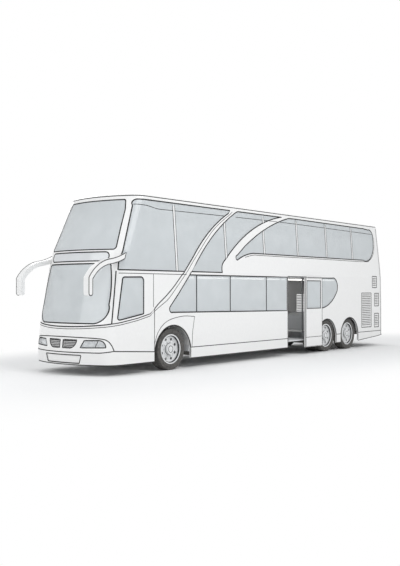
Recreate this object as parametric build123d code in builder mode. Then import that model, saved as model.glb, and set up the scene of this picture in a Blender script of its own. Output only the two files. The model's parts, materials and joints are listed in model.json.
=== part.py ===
"""Double-deck touring coach, 13.3 m long, on three axles, in millimetres.

Frame: origin on the ground under the middle of the vehicle, +Z up, the nose points to -Y, the left side is +X.
"""

import math
import os

from build123d import *

# ---------------------------------------------------------------- driving dimensions
# body shell
WALL = 50                     # side wall, roof and front mask thickness
PANE_FACE = 4                 # panes sit this far inside the outer skin
PANE_BACK = 14                # and rest on the pillars at this depth
PANE_GAP = 4                  # rubber gap round a pane
FLANGE = 45                   # width of the flange that a pane rests on
PILLAR = 70                   # width of the pillars behind the panes
ROOF_Z = 4070
ROOF_COVE = 90                # radius where wall turns into roof
ROOF_JOINT_Z = 3972           # roof skin starts here
NOSE_ARC = 2400               # plan radius of the front face
CORNER_ARC = 400              # plan radius of the front corners
TAIL_ARC = 110                # plan radius of the rear corners
SKIRT_Z = 240                 # bottom edge of skirts and bumper
SILL_Z = 500                  # joint between skirt and body side
HALF_WIDTH = 1275
TAIL_Y = 6800
TAIL_SEAM = 150               # side walls end this far ahead of the tail
BODY_BOTTOM = 190             # the inner form starts lower, so that the shell is open below
MIDDLE_FROM, MIDDLE_TO = -4870, 6430   # the sides are plain planes between these

# levels inside
STEP_Z = 440                  # lower aisle and entrance
CAB_Z = 600                   # driver's floor and front aisle
PODIUM_Z = 670                # under the lower seats
REAR_Z = 1120                 # floor over the driven and trailing axles
DECK_Z = 2275                 # upper floor
SHEET = 40                    # floor thickness

# running gear
FRONT_AXLE_Y = -4200
DRIVE_AXLE_Y = 3030
TAG_AXLE_Y = 4380
TYRE_R = 490
TYRE_W = 290
RIM_R = 335                   # seat of the tyre on the rim
WHEEL_X = 1090                # middle plane of every outer wheel
TWIN_STEP = 315               # from outer to inner wheel of a twin pair
KINGPIN_X = 950
HUB_BORE = 45
RUNNING = 0.05                # radial clearance of a shaft in its bore
HOUSE_X = 620                 # inner wall of a front wheelhouse
MASK_END_Y = -4835            # the front panel and bumper end here, ahead of the front wheels

# front arch, then the two rear arches: centre y, centre z, radius
ARCHES = ((-4180, 400, 650), (3010, 420, 570), (4440, 420, 580))

# doors, both swing out on a post with a pair of bent arms and stay parallel to the side
DOOR_GAP = 8
DOOR_TOP_Z = 2248
MIDDLE_DOOR = (800, 1790)     # y span of the opening, left side
MIDDLE_DOOR_Z = 215
FRONT_DOOR = (-5880, -4960)   # y span of the opening, right side
FRONT_DOOR_Z = 300
DOOR_SKIN = 2
DOOR_BACK = 40
LEAF_OUT = 110                # an open leaf stands this far out
MIDDLE_SHIFT = 750            # and this far along the side
FRONT_SHIFT = 680
POST_X = 1195
FRONT_POST_X = 1150           # further in, where the front corner curves away
POST_INSET = 90               # from the edge of the opening to the post
POST_R = 20

# sections of the body, from the bottom up
# height, nose y, half width, tail y
BODY_SECTIONS = (
    (SKIRT_Z, -6500, HALF_WIDTH, TAIL_Y),
    (SILL_Z, -6525, HALF_WIDTH, TAIL_Y),
    (1100, -6460, HALF_WIDTH, TAIL_Y),
    (2300, -6198, HALF_WIDTH, 6770),
    (2750, -6100, 1245, 6750),
    (ROOF_Z, -5478, 1145, 6650),
)

os.makedirs("parts", exist_ok=True)


def save(piece, label):
    """Writes one finished piece to its own STEP file."""
    piece.label = label
    export_step(piece, f"parts/{label}.step")
    print(f"{label:20s} solids {len(piece.solids()):3d} valid {piece.is_valid} litres {piece.volume / 1e6:9.2f}")


def other_side(piece):
    return mirror(piece, about=Plane.YZ)


# ---------------------------------------------------------------- body form
def plan_outline(nose_y, half_width, tail_y, inset):
    """Closed plan outline of the body: nose arc, corner arcs, straight sides and a flat tail."""
    nose_r = NOSE_ARC - inset
    corner_r = CORNER_ARC - inset
    tail_r = TAIL_ARC - inset
    side = half_width - inset
    tail = tail_y - inset
    swing = math.asin((half_width - CORNER_ARC) / (NOSE_ARC - CORNER_ARC))
    centre_x = half_width - CORNER_ARC
    centre_y = nose_y + NOSE_ARC - (NOSE_ARC - CORNER_ARC) * math.cos(swing)
    joint = (nose_r * math.sin(swing), nose_y + NOSE_ARC - nose_r * math.cos(swing))
    half = (swing + math.pi / 2) / 2
    mid = (centre_x + corner_r * math.sin(half), centre_y - corner_r * math.cos(half))
    bend = tail_r * math.sqrt(0.5)
    tail_mid = (side - tail_r + bend, tail - tail_r + bend)

    def left(point):
        return (-point[0], point[1])

    with BuildLine() as outline:
        ThreePointArc(left(joint), (0, nose_y + inset), joint)
        ThreePointArc(joint, mid, (side, centre_y))
        Line((side, centre_y), (side, tail - tail_r))
        ThreePointArc((side, tail - tail_r), tail_mid, (side - tail_r, tail))
        Line((side - tail_r, tail), (tail_r - side, tail))
        ThreePointArc((tail_r - side, tail), left(tail_mid), (-side, tail - tail_r))
        Line((-side, tail - tail_r), (-side, centre_y))
        ThreePointArc((-side, centre_y), left(mid), left(joint))
    return outline.line


def ruled_form(inset):
    """Solid body inset by a distance, ruled between its sections, with the roof edge rounded."""
    bottom = BODY_BOTTOM if inset else SKIRT_Z
    with BuildPart() as form:
        for z, nose_y, half_width, tail_y in BODY_SECTIONS:
            level = {SKIRT_Z: bottom, ROOF_Z: ROOF_Z - inset}.get(z, z)
            with BuildSketch(Plane.XY.offset(level)):
                with BuildLine():
                    add(plan_outline(nose_y, half_width, tail_y, inset))
                make_face()
        loft(ruled=True)
        roof_edges = form.faces().sort_by(Axis.Z)[-1].edges()
        fillet(roof_edges, ROOF_COVE - inset)
    return form.part


def body_form(inset):
    """The same solid with its middle drawn as plain planes, which the side windows are cut from."""
    bottom = BODY_BOTTOM if inset else SKIRT_Z
    with BuildPart() as form:
        add(ruled_form(inset))
        with Locations((0, (MIDDLE_FROM + MIDDLE_TO) / 2, 2000)):
            Box(4000, MIDDLE_TO - MIDDLE_FROM, 5000, mode=Mode.SUBTRACT)
        with BuildSketch(Plane.XZ.offset(-MIDDLE_FROM)):
            with BuildLine():
                right = [(HALF_WIDTH - inset, bottom)]
                right += [(half_width - inset, z) for z, _, half_width, _ in BODY_SECTIONS[3:5]]
                right += [(BODY_SECTIONS[5][2] - inset, ROOF_Z - inset)]
                Polyline(*right, *[(-x, z) for x, z in reversed(right)], close=True)
            make_face()
            top = [v for v in vertices() if abs(v.Y - ROOF_Z + inset) < 1 or abs(v.Z - ROOF_Z + inset) < 1]
            fillet(top, ROOF_COVE - inset)
        extrude(amount=-(MIDDLE_TO - MIDDLE_FROM))
    return form.part


# ---------------------------------------------------------------- outlines and prisms
def area(plane, path):
    """Face bounded by a path: a point is a straight run, a pair of points is an arc through the first."""
    with BuildSketch(plane) as sketch:
        with BuildLine():
            here = path[0]
            for move in path[1:]:
                if isinstance(move[0], tuple):
                    ThreePointArc(here, move[0], move[1])
                    here = move[1]
                else:
                    Line(here, move)
                    here = move
            if here != path[0]:
                Line(here, path[0])
        make_face()
    return sketch.sketch


def side_prism(path, side=1, shrink=0.0):
    """Prism across one side of the vehicle from an outline in Y and Z."""
    face = area(Plane.YZ, path)
    if shrink:
        face = offset(face, -shrink, kind=Kind.ARC)
    prism = extrude(face, amount=1500, dir=(1, 0, 0))
    return prism if side > 0 else other_side(prism)


def full_prism(path):
    """Prism across the whole width from an outline in Y and Z."""
    return extrude(area(Plane.YZ, path), amount=1500, both=True)


def front_prism(path, shrink=0.0, round_corners=0.0):
    """Prism through the front from an outline in X and Z."""
    face = area(Plane.XZ, path)
    if round_corners:
        face = fillet(face.vertices(), round_corners)
    if shrink:
        face = offset(face, -shrink, kind=Kind.ARC)
    return extrude(face, amount=7000, dir=(0, -1, 0))


def block(low, high):
    """Box between two corners."""
    size = [b - a for a, b in zip(low, high)]
    middle = tuple((a + b) / 2 for a, b in zip(low, high))
    with BuildPart() as box:
        with Locations(middle):
            Box(*size)
    return box.part


def flipped(path):
    """The same path on the other side of the middle plane."""
    return [tuple((-x, z) for x, z in move) if isinstance(move[0], tuple) else (-move[0], move[1]) for move in path]


def symmetric(half_path):
    """Closes a right-hand half outline, given from bottom to top, with its mirror image."""
    far = flipped(half_path)
    ends = [move[1] if isinstance(move[0], tuple) else move for move in far]
    back = [ends[-1]]
    for move, end in zip(far[:0:-1], ends[-2::-1]):
        back.append((move[0], end) if isinstance(move[0], tuple) else end)
    return half_path + back


OUTER = body_form(0)
INNER = body_form(WALL)
PANE_OUT = body_form(PANE_FACE)
PANE_IN = body_form(PANE_BACK)
SHELL = OUTER - INNER
RIM = OUTER - PANE_IN
LOUVRE_BACK = body_form(32)

# the A-pillar seam parts the front mask from the sides: outline in Y and Z
SEAM_LOW, SEAM_BEND, SEAM_TOP = (-6108, 1141), (-5880, 2504), (-5276, ROOF_JOINT_Z)
BELT = [(-6700, 1050), (-6460, 1070), (-6108, 1141), (-5390, 1250), (-4980, 1340), (MASK_END_Y, 1450)]
LAMP_LINE = [(MASK_END_Y, 470), (-6100, 550), (-6300, 515), (-6700, 510)]
TAIL_BOTTOM = [(5000, 240), (6430, 330), (6900, 400)]
TAIL_SEAM_LINE = [(TAIL_Y - TAIL_SEAM, SILL_Z), (TAIL_Y - TAIL_SEAM, 1100), (6770 - TAIL_SEAM, 2300),
                  (6750 - TAIL_SEAM, 2750), (6657 - TAIL_SEAM, ROOF_JOINT_Z)]

# ---------------------------------------------------------------- side windows, outlines in Y and Z
UPPER_FRONT = [(-5886, 2320), (-5853, 2504), (-5335, 3790), ((-5300, 3900), (-5200, 3950)), (-1790, 3950), (-1870, 3860),
               ((-2640, 3395), (-3400, 2690)), (-3760, 2320)]
UPPER_MIDDLE = [(-3511, 2320), (-3300, 2550), ((-2330, 3440), (-1520, 3930)), (-1440, 3950), (700, 3950),
                ((-700, 3560), (-1900, 2835)), (-2200, 2590), ((-2270, 2480), (-2265, 2320))]
UPPER_REAR = [(-850, 2860), (5450, 2860), ((6060, 2990), (6270, 3330)), (6290, 3650), ((6200, 3840), (5950, 3905)),
              (5600, 3930), (1240, 3950), (1000, 3942), ((-280, 3530), (-1250, 3030)), (-1600, 2790),
              ((-1665, 2710), (-1600, 2655)), ((-1250, 2790), (-850, 2860))]
LOWER_FRONT = [(-4200, 1350), (760, 1290), (760, 2250), (-3576, 2250), (-3980, 1810), (-4290, 1500),
               ((-4310, 1400), (-4200, 1350))]
LOWER_REAR = [(1850, 1300), (2700, 1330), ((3300, 1530), (3640, 1850)), ((3620, 2130), (3310, 2250)),
              (1850, 2250)]
LOWER_RIGHT = [(-4200, 1350), (760, 1290), (2700, 1330), ((3300, 1530), (3640, 1850)),
               ((3620, 2130), (3310, 2250)), (-3576, 2250), (-3980, 1810), (-4290, 1500),
               ((-4310, 1400), (-4200, 1350))]
DRIVER = [(-5930, 1222), (-5230, 1335), ((-5200, 1345), (-5190, 1380)), (-5190, 2080), ((-5220, 2150), (-5290, 2178)),
          (-5760, 2170), ((-5800, 2160), (-5825, 2120)), (-5985, 1280), ((-5975, 1235), (-5930, 1222))]

# windows of each side with the y of the pillars behind their panes
LEFT_WINDOWS = ((UPPER_FRONT, (-4035,)), (UPPER_MIDDLE, (-2070, -290)), (UPPER_REAR, (-320, 1410, 3080, 4735)),
                (LOWER_FRONT, (-3310, -1940, -290)), (LOWER_REAR, ()), (DRIVER, ()))
RIGHT_WINDOWS = ((UPPER_FRONT, (-4035,)), (UPPER_MIDDLE, (-2070, -290)), (UPPER_REAR, (-320, 1410, 3080, 4735)),
                 (LOWER_RIGHT, (-3310, -1940, -290, 1200)))

# air grilles at the rear of both sides: y from, y to, z from, z to
SIDE_VENTS = ((5260, 5950, 650, 1780), (6030, 6350, 1960, 2340), (6190, 6500, 1340, 1770), (6180, 6500, 630, 1090))
LOUVRE_PITCH, LOUVRE_SLOT = 58, 26


def pillar_zone(y, side, width):
    """Upright strip at one pillar, used to keep the pillar or to part the panes."""
    low, high = sorted((side * 900, side * 1400))
    return block((low, y - width / 2, 1000), (high, y + width / 2, ROOF_Z))


def glazed_wall(wall, windows, side):
    """Cuts pane recesses and see-through openings into a wall."""
    for outline, pillars in windows:
        wall -= RIM & side_prism(outline, side)
        clear = side_prism(outline, side, FLANGE)
        for y in pillars:
            clear -= pillar_zone(y, side, PILLAR)
        wall -= clear
    return wall


def pane(prism):
    """Flush pane where a prism meets the body."""
    return (PANE_OUT & prism) - PANE_IN


def side_panes(windows, side):
    """All panes of one side, parted at the pillars."""
    panes = None
    for outline, pillars in windows:
        group = pane(side_prism(outline, side, PANE_GAP))
        for y in pillars:
            group -= pillar_zone(y, side, PANE_GAP * 2)
        panes = group if panes is None else panes + group
    return panes


def arch_prism(side, clearance=0.0):
    """Wheel arch openings of one side."""
    arches = None
    for y, z, radius in ARCHES:
        radius += clearance
        opening = side_prism([(y - radius, 0), (y + radius, 0), (y + radius, z), ((y, z + radius), (y - radius, z))],
                             side)
        arches = opening if arches is None else arches + opening
    return arches


MIDDLE_OPENING = side_prism([(MIDDLE_DOOR[0], 100), (MIDDLE_DOOR[1], 100), (MIDDLE_DOOR[1], DOOR_TOP_Z),
                             (MIDDLE_DOOR[0], DOOR_TOP_Z)])
FRONT_OPENING = side_prism([(FRONT_DOOR[0], FRONT_DOOR_Z), (FRONT_DOOR[1], FRONT_DOOR_Z),
                            (FRONT_DOOR[1], DOOR_TOP_Z), (FRONT_DOOR[0], DOOR_TOP_Z)], -1)

# ---------------------------------------------------------------- body panels
SIDE_REGION = [SEAM_LOW, SEAM_BEND, SEAM_TOP, TAIL_SEAM_LINE[4], TAIL_SEAM_LINE[3], TAIL_SEAM_LINE[2],
               TAIL_SEAM_LINE[1], TAIL_SEAM_LINE[0], (MASK_END_Y, SILL_Z), (MASK_END_Y, 1450), (-4980, 1340),
               (-5390, 1250)]
SKIRT_REGION = [(-4180, 100), (-4180, SILL_Z), TAIL_SEAM_LINE[0], (TAIL_Y - TAIL_SEAM, 352), (6430, 330), (5000, 240),
                (5000, 100)]

def rectangle(vent, inset=0):
    """Outline of a vent in Y and Z."""
    y_low, y_high, z_low, z_high = vent
    return [(y_low + inset, z_low + inset), (y_high - inset, z_low + inset), (y_high - inset, z_high - inset),
            (y_low + inset, z_high - inset)]


def louvres(vent, side):
    """Louvred panel that fills one vent opening, with slots between sloping slats."""
    y_low, y_high, z_low, z_high = vent
    panel = (PANE_OUT - LOUVRE_BACK) & side_prism(rectangle(vent), side)
    count = int((z_high - z_low - 60) / LOUVRE_PITCH)
    first = (z_low + z_high - (count - 1) * LOUVRE_PITCH) / 2
    with BuildPart() as slots:
        for i in range(count):
            z = first + i * LOUVRE_PITCH
            with BuildSketch(Plane.XZ.offset(-y_low - 30)):
                with BuildLine():
                    Polyline((1000, z + 60), (1400, z - 40), (1400, z - 40 + LOUVRE_SLOT), (1000, z + 60 + LOUVRE_SLOT),
                             close=True)
                make_face()
            extrude(amount=-(y_high - y_low - 60))
    return panel - (slots.part if side > 0 else other_side(slots.part))


# each side wall is welded from three sections, which meet at the edges of the middle doorway
WALL_SECTIONS = ((-7000, MIDDLE_DOOR[0]), MIDDLE_DOOR, (MIDDLE_DOOR[1], 7000))
for side, hand, windows, doorway in ((1, "left", LEFT_WINDOWS, MIDDLE_OPENING),
                                     (-1, "right", RIGHT_WINDOWS, FRONT_OPENING)):
    wall = glazed_wall(SHELL & side_prism(SIDE_REGION, side), windows, side) - arch_prism(side) - doorway
    for vent in SIDE_VENTS:
        wall -= side_prism(rectangle(vent), side)
    sections = [wall & block((-1400, y_low, 0), (1400, y_high, ROOF_Z)) for y_low, y_high in WALL_SECTIONS]
    save(Compound(children=sections), f"side_wall_{hand}")
save(Compound(children=[louvres(vent, side) for side in (1, -1) for vent in SIDE_VENTS]), "side_vents")
save((SHELL & side_prism(SKIRT_REGION)) - arch_prism(1) - MIDDLE_OPENING, "skirt_left")
save((SHELL & side_prism(SKIRT_REGION, -1)) - arch_prism(-1), "skirt_right")
save(side_panes(LEFT_WINDOWS, 1), "side_glass_left")
save(side_panes(RIGHT_WINDOWS, -1), "side_glass_right")

roof_panel = (ruled_form(0) - ruled_form(WALL)) & block((-1500, -7000, ROOF_JOINT_Z), (1500, 7000, ROOF_Z + 10))
save(roof_panel, "roof_panel")

# front mask with both windscreens and the destination window: outlines in X and Z
UPPER_SCREEN = symmetric([(1045, 2775), (985, 3300), (950, 3700), (885, 3940)])
LOWER_SCREEN = symmetric([(760, 1140), ((1015, 1235), (1087, 1560)), ((1066, 2060), (1006, 2390)),
                          ((986, 2448), (930, 2470))])
DESTINATION = symmetric([(930, 2520), (930, 2730)])
MASK_REGION = BELT[:3] + [SEAM_BEND, SEAM_TOP, (-6700, ROOF_JOINT_Z)]
front_mask = SHELL & full_prism(MASK_REGION)
for label, outline, corner in (("windscreen_upper", UPPER_SCREEN, 60), ("windscreen_lower", LOWER_SCREEN, 0)):
    front_mask -= RIM & front_prism(outline, 0, corner)
    front_mask -= front_prism(outline, FLANGE, corner)
    save(pane(front_prism(outline, PANE_GAP, corner)), label)
front_mask -= RIM & front_prism(DESTINATION, 0, 100)
save(pane(front_prism(DESTINATION, PANE_GAP, 100)), "destination_window")
save(front_mask, "front_mask")

# lower front: painted panel with lamp and grille openings, and the bumper with a plate recess
FRONT_REGION = BELT + LAMP_LINE
BUMPER_REGION = LAMP_LINE[::-1] + [(MASK_END_Y, 100), (-6700, 100)]
HEADLAMP = [(540, 612), (1120, 625), ((1080, 740), (975, 790)), (632, 780)]
GRILLE = [(45, 602), (276, 602), ((400, 670), (448, 785)), (45, 785)]
PLATE_RECESS = symmetric([(520, 275), (580, 455)])
LAMP_DEPTH, LAMP_WALL = 80, 8
GRILLE_DEPTH, GRILLE_PITCH, GRILLE_SLOT = 22, 34, 20


def nose_layer(path, depth, shrink=0.0):
    """Layer behind the panes of the nose, of a given depth along Y, inside an outline."""
    return (PANE_IN & front_prism(path, shrink)) - PANE_IN.moved(Location((0, depth, 0)))


front_panel = SHELL & full_prism(FRONT_REGION)
lenses, housings, grilles = [], [], []
for side in (1, -1):
    lamp_path = HEADLAMP if side > 0 else flipped(HEADLAMP)
    grille_path = GRILLE if side > 0 else flipped(GRILLE)
    front_panel -= front_prism(lamp_path)
    front_panel -= front_prism(grille_path)
    lenses.append(pane(front_prism(lamp_path, PANE_GAP)))
    housings.append(nose_layer(lamp_path, LAMP_DEPTH) - nose_layer(lamp_path, LAMP_DEPTH - LAMP_WALL, LAMP_WALL))
    insert = nose_layer(grille_path, GRILLE_DEPTH)
    bars = nose_layer(grille_path, GRILLE_DEPTH * 2, 14)
    for i in range(5):
        z = 625 + i * GRILLE_PITCH
        insert -= bars & block((-600, -7000, z - GRILLE_SLOT / 2), (600, -6000, z + GRILLE_SLOT / 2))
    grilles.append(insert)
save(front_panel - FRONT_OPENING, "front_panel")
save(Compound(children=lenses), "headlamps")
save(Compound(children=housings), "lamp_housings")
save(Compound(children=grilles), "grille")
front_bumper = (SHELL & full_prism(BUMPER_REGION)) - (RIM & front_prism(PLATE_RECESS, 0, 20)) - FRONT_OPENING
save(front_bumper, "front_bumper")

# rear: panel with window, engine lid opening and lamps
LID_X, LID_LOW, LID_HIGH = 880, 640, 1780
REAR_REGION = TAIL_SEAM_LINE + [(7000, ROOF_JOINT_Z), (7000, 420), (6900, 400), (TAIL_Y - TAIL_SEAM, 352)]


def rear_prism(path, shrink=0.0, round_corners=0.0):
    """Prism through the rear from an outline in X and Z."""
    return mirror(front_prism(path, shrink, round_corners), about=Plane.XZ)


REAR_SCREEN = symmetric([(1000, 2900), (930, 3760)])
LID_OUTLINE = symmetric([(LID_X, LID_LOW), (LID_X, LID_HIGH)])
rear_panel = SHELL & full_prism(REAR_REGION)
rear_panel -= RIM & rear_prism(REAR_SCREEN, 0, 90)
rear_panel -= rear_prism(REAR_SCREEN, FLANGE, 90)
rear_panel -= rear_prism(LID_OUTLINE, 0, 40)
tail_lamps = None
for side in (1, -1):
    low, high = sorted((side * 980, side * 1130))
    cluster = [(low, 900), (high, 900), (high, 1720), (low, 1720)]
    rear_panel -= RIM & rear_prism(cluster, 0, 60)
    lamp = pane(rear_prism(cluster, PANE_GAP, 60))
    tail_lamps = lamp if tail_lamps is None else tail_lamps + lamp
save(rear_panel, "rear_panel")
save(tail_lamps, "tail_lamps")
save(pane(rear_prism(REAR_SCREEN, PANE_GAP, 90)), "rear_window")
engine_lid = (PANE_OUT - body_form(DOOR_BACK)) & rear_prism(LID_OUTLINE, 8, 40)
save(engine_lid, "engine_lid")


# ---------------------------------------------------------------- doors
def swing(shift):
    """Arm radius and turn of a door post from how far the leaf goes out and along."""
    radius = (LEAF_OUT ** 2 + shift ** 2) / (2 * shift)
    return radius, 90 + math.degrees(math.acos(LEAF_OUT / radius))


LEAF_SKIN = body_form(DOOR_SKIN) - body_form(DOOR_BACK)
ARM_Z = (640, 2175)           # the lower and upper arm of each door
ARM_H = 30
ARM_HALF = 14
EYE_R = 22
PIN_R = 10


def door_arm(post, tip, elbow, z_span):
    """Post with two bent arms, drawn in the pose where the tips lie at the given point."""
    with BuildPart() as arm:
        with BuildSketch(Plane.XY.offset(z_span[0])):
            with Locations(post):
                Circle(POST_R)
        extrude(amount=z_span[1] - z_span[0])
        for z in ARM_Z:
            with BuildSketch(Plane.XY.offset(z)):
                for a, b in ((post, elbow), (elbow, tip)):
                    run = math.hypot(b[0] - a[0], b[1] - a[1])
                    turn = math.degrees(math.atan2(b[1] - a[1], b[0] - a[0]))
                    with Locations(Location(((a[0] + b[0]) / 2, (a[1] + b[1]) / 2), turn)):
                        SlotCenterToCenter(run, ARM_HALF * 2)
                with Locations(tip):
                    Circle(EYE_R)
            extrude(amount=ARM_H)
            with BuildSketch(Plane.XY.offset(z)):
                with Locations(tip):
                    Circle(PIN_R + RUNNING)
            extrude(amount=ARM_H, mode=Mode.SUBTRACT)
    return arm.part


def leaf_brackets(tip, face_x):
    """Lugs on the back of a leaf that carry its pins, drawn at the closed pose."""
    with BuildPart() as lugs:
        for z in ARM_Z:
            with BuildSketch(Plane.XY.offset(z + ARM_H + 5)):
                with Locations(tip):
                    Circle(EYE_R)
                with Locations(((tip[0] + face_x) / 2, tip[1])):
                    Rectangle(face_x - tip[0], EYE_R * 2)
            extrude(amount=16)
            with BuildSketch(Plane.XY.offset(z)):
                with Locations(tip):
                    Circle(PIN_R)
            extrude(amount=ARM_H + 6)
    return lugs.part


def leaf(span, z_low, side):
    """Closed leaf with its window opening, and the pane for it."""
    low, high = span
    outline = [(low, z_low), (high, z_low), (high, DOOR_TOP_Z), (low, DOOR_TOP_Z)]
    window = [(low + 95, 1330), (high - 95, 1330), (high - 95, DOOR_TOP_Z - 85), (low + 95, DOOR_TOP_Z - 85)]
    skin = LEAF_SKIN & side_prism(outline, side, DOOR_GAP)
    skin -= RIM & side_prism(window, side)
    skin -= side_prism(window, side, 25)
    return skin, pane(side_prism(window, side, PANE_GAP))


# middle door, left side, modelled at rest: open
radius, MIDDLE_TURN = swing(MIDDLE_SHIFT)
post = (POST_X, MIDDLE_DOOR[1] - POST_INSET)
closed_tip = (POST_X, post[1] - radius)
open_tip = (closed_tip[0] + LEAF_OUT, closed_tip[1] + MIDDLE_SHIFT)
skin, glass = leaf(MIDDLE_DOOR, MIDDLE_DOOR_Z - DOOR_GAP, 1)
skin += leaf_brackets(closed_tip, 1240)
opened = Location((LEAF_OUT, MIDDLE_SHIFT, 0))
save(skin.moved(opened), "middle_door")
save(glass.moved(opened), "middle_door_glass")
save(door_arm(post, open_tip, (1300, post[1] + 38), (450, 2215)), "middle_door_arm")
print("middle post", post, "tip", open_tip, "turn", MIDDLE_TURN)

# front door, right side, modelled at rest: closed. Its post stands by the front edge of the opening
radius, FRONT_TURN = swing(FRONT_SHIFT)
post = (FRONT_POST_X, FRONT_DOOR[0] + POST_INSET)
closed_tip = (FRONT_POST_X, post[1] + radius)
turn = math.radians(FRONT_TURN)
reach, drop = 160, -30        # from the post to the elbow, in the open pose
elbow = (post[0] + reach * math.cos(turn) - drop * math.sin(turn),
         post[1] + reach * math.sin(turn) + drop * math.cos(turn))
skin, glass = leaf(FRONT_DOOR, FRONT_DOOR_Z, -1)
skin += other_side(leaf_brackets(closed_tip, 1240))
save(skin, "front_door")
save(glass, "front_door_glass")
save(other_side(door_arm(post, closed_tip, elbow, (620, 2215))), "front_door_arm")
print("front post", post, "tip", closed_tip, "turn", FRONT_TURN)

# ---------------------------------------------------------------- floors, stairs and racks
CAVITY = body_form(WALL + 1)
# plates and risers of the floor, from the nose to the tail: y from, y to, z from, z to
FLOOR_PLATES = ((-6400, -3560, CAB_Z - SHEET, CAB_Z), (-3560, -3520, STEP_Z, CAB_Z),
                (-3560, 2310, STEP_Z - SHEET, STEP_Z), (2310, 2350, STEP_Z - SHEET, REAR_Z),
                (2350, 6800, REAR_Z - SHEET, REAR_Z))
floor_plates = [CAVITY & block((-1400, y_low, z_low), (1400, y_high, z_high))
                for y_low, y_high, z_low, z_high in FLOOR_PLATES]
HOUSE_Y, HOUSE_TOP, HOUSE_SHEET = (MASK_END_Y - 40, -3540), 1120, 20
floor_boxes = []
for side in (1, -1):
    low, high = sorted((side * (HOUSE_X - HOUSE_SHEET), side * 1300))
    house = block((low, HOUSE_Y[0], CAB_Z - SHEET), (high, HOUSE_Y[1], HOUSE_TOP))
    floor_plates[0] -= house
    floor_plates[1] -= house
    low, high = sorted((side * HOUSE_X, side * 1300))
    house -= block((low, HOUSE_Y[0] + HOUSE_SHEET, 300), (high, HOUSE_Y[1] - HOUSE_SHEET, HOUSE_TOP - HOUSE_SHEET))
    floor_boxes.append(CAVITY & house)
# podiums under the seats: side, y from, y to
BOX_X, BOX_SHEET = 380, 30
for side, y_low, y_high in ((1, -3500, 700), (1, 1890, 2290), (-1, -3500, 640)):
    low, high = sorted((side * BOX_X, side * 1300))
    podium = block((low, y_low, STEP_Z), (high, y_high, PODIUM_Z))
    low, high = sorted((side * (BOX_X + BOX_SHEET), side * 1300))
    podium -= block((low, y_low - 10, STEP_Z - 10), (high, y_high + 10, PODIUM_Z - BOX_SHEET))
    floor_boxes.append(CAVITY & podium)
save(Compound(children=floor_plates), "lower_floor")
save(Compound(children=floor_boxes), "floor_boxes")

STAIR_Y, STAIR_RUN, STAIR_COUNT = 660, 205, 8
STAIR_X = (-1190, -560)
rise = (DECK_Z - STEP_Z) / STAIR_COUNT
stair_path = [(STAIR_Y, STEP_Z)]
for step in range(STAIR_COUNT - 1):
    stair_path += [(STAIR_Y + step * STAIR_RUN, STEP_Z + (step + 1) * rise),
                   (STAIR_Y + (step + 1) * STAIR_RUN, STEP_Z + (step + 1) * rise)]
stair_end = STAIR_Y + (STAIR_COUNT - 1) * STAIR_RUN
stair_path += [(stair_end, DECK_Z - SHEET), (stair_end + 60, DECK_Z - SHEET), (stair_end + 60, DECK_Z - 300),
               (STAIR_Y + 240, STEP_Z)]
stairs = full_prism(stair_path) & block((STAIR_X[0], 0, 0), (STAIR_X[1], 4000, 3000))
save(stairs, "stairs")

upper_floor = CAVITY & block((-1400, -7000, DECK_Z - SHEET), (1400, 7000, DECK_Z))
upper_floor -= block((STAIR_X[0] - 10, STAIR_Y - 60, 2000), (STAIR_X[1] + 10, stair_end, 2400))
save(upper_floor, "upper_floor")

racks = None
for side in (1, -1):
    low, high = sorted((side * 800, side * 1300))
    rack = CAVITY & block((low, -5100, 3760), (high, 6100, 3800))
    low, high = sorted((side * 800, side * 840))
    rack += block((low, -5100, 3760), (high, 6100, 3900))
    racks = rack if racks is None else racks + rack
save(racks, "luggage_racks")

# ---------------------------------------------------------------- seats, dashboard
SEAT_PATH = [(0, 0), (430, 0), (430, 330), ((500, 420), (560, 400)), (690, 960), ((660, 1010), (600, 990)),
             (450, 470), (20, 470), ((-40, 440), (0, 400)), (60, 370), (60, 330)]


def seat(x_low, x_high, y, z, scale=1.0):
    """One bench or single seat that faces the nose, from its side outline."""
    path = [(y + p[0], z + p[1]) if not isinstance(p[0], tuple) else tuple((y + q[0], z + q[1]) for q in p)
            for p in SEAT_PATH]
    return extrude(area(Plane.YZ, path), amount=x_high - x_low, dir=(1, 0, 0)).moved(Location((x_low, 0, 0)))


def rows(x_low, x_high, ys, z):
    benches = [seat(x_low, x_high, y, z) for y in ys]
    return benches


SEAT_PITCH = 850
upper_rows = [-4550 + SEAT_PITCH * i for i in range(12)]
clear_of_stairs = [y for y in upper_rows if y + 700 < STAIR_Y - 60 or y > stair_end + 20]
upper = rows(250, 1110, upper_rows, DECK_Z) + rows(-1110, -250, clear_of_stairs, DECK_Z)
save(Compound(children=upper), "upper_seats")
lower_rows = [-3350 + SEAT_PITCH * i for i in range(4)]
lower = rows(430, 1190, lower_rows, PODIUM_Z) + rows(-1190, -430, lower_rows, PODIUM_Z)
lower += rows(330, 830, [-5620], CAB_Z)
save(Compound(children=lower), "lower_seats")

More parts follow.
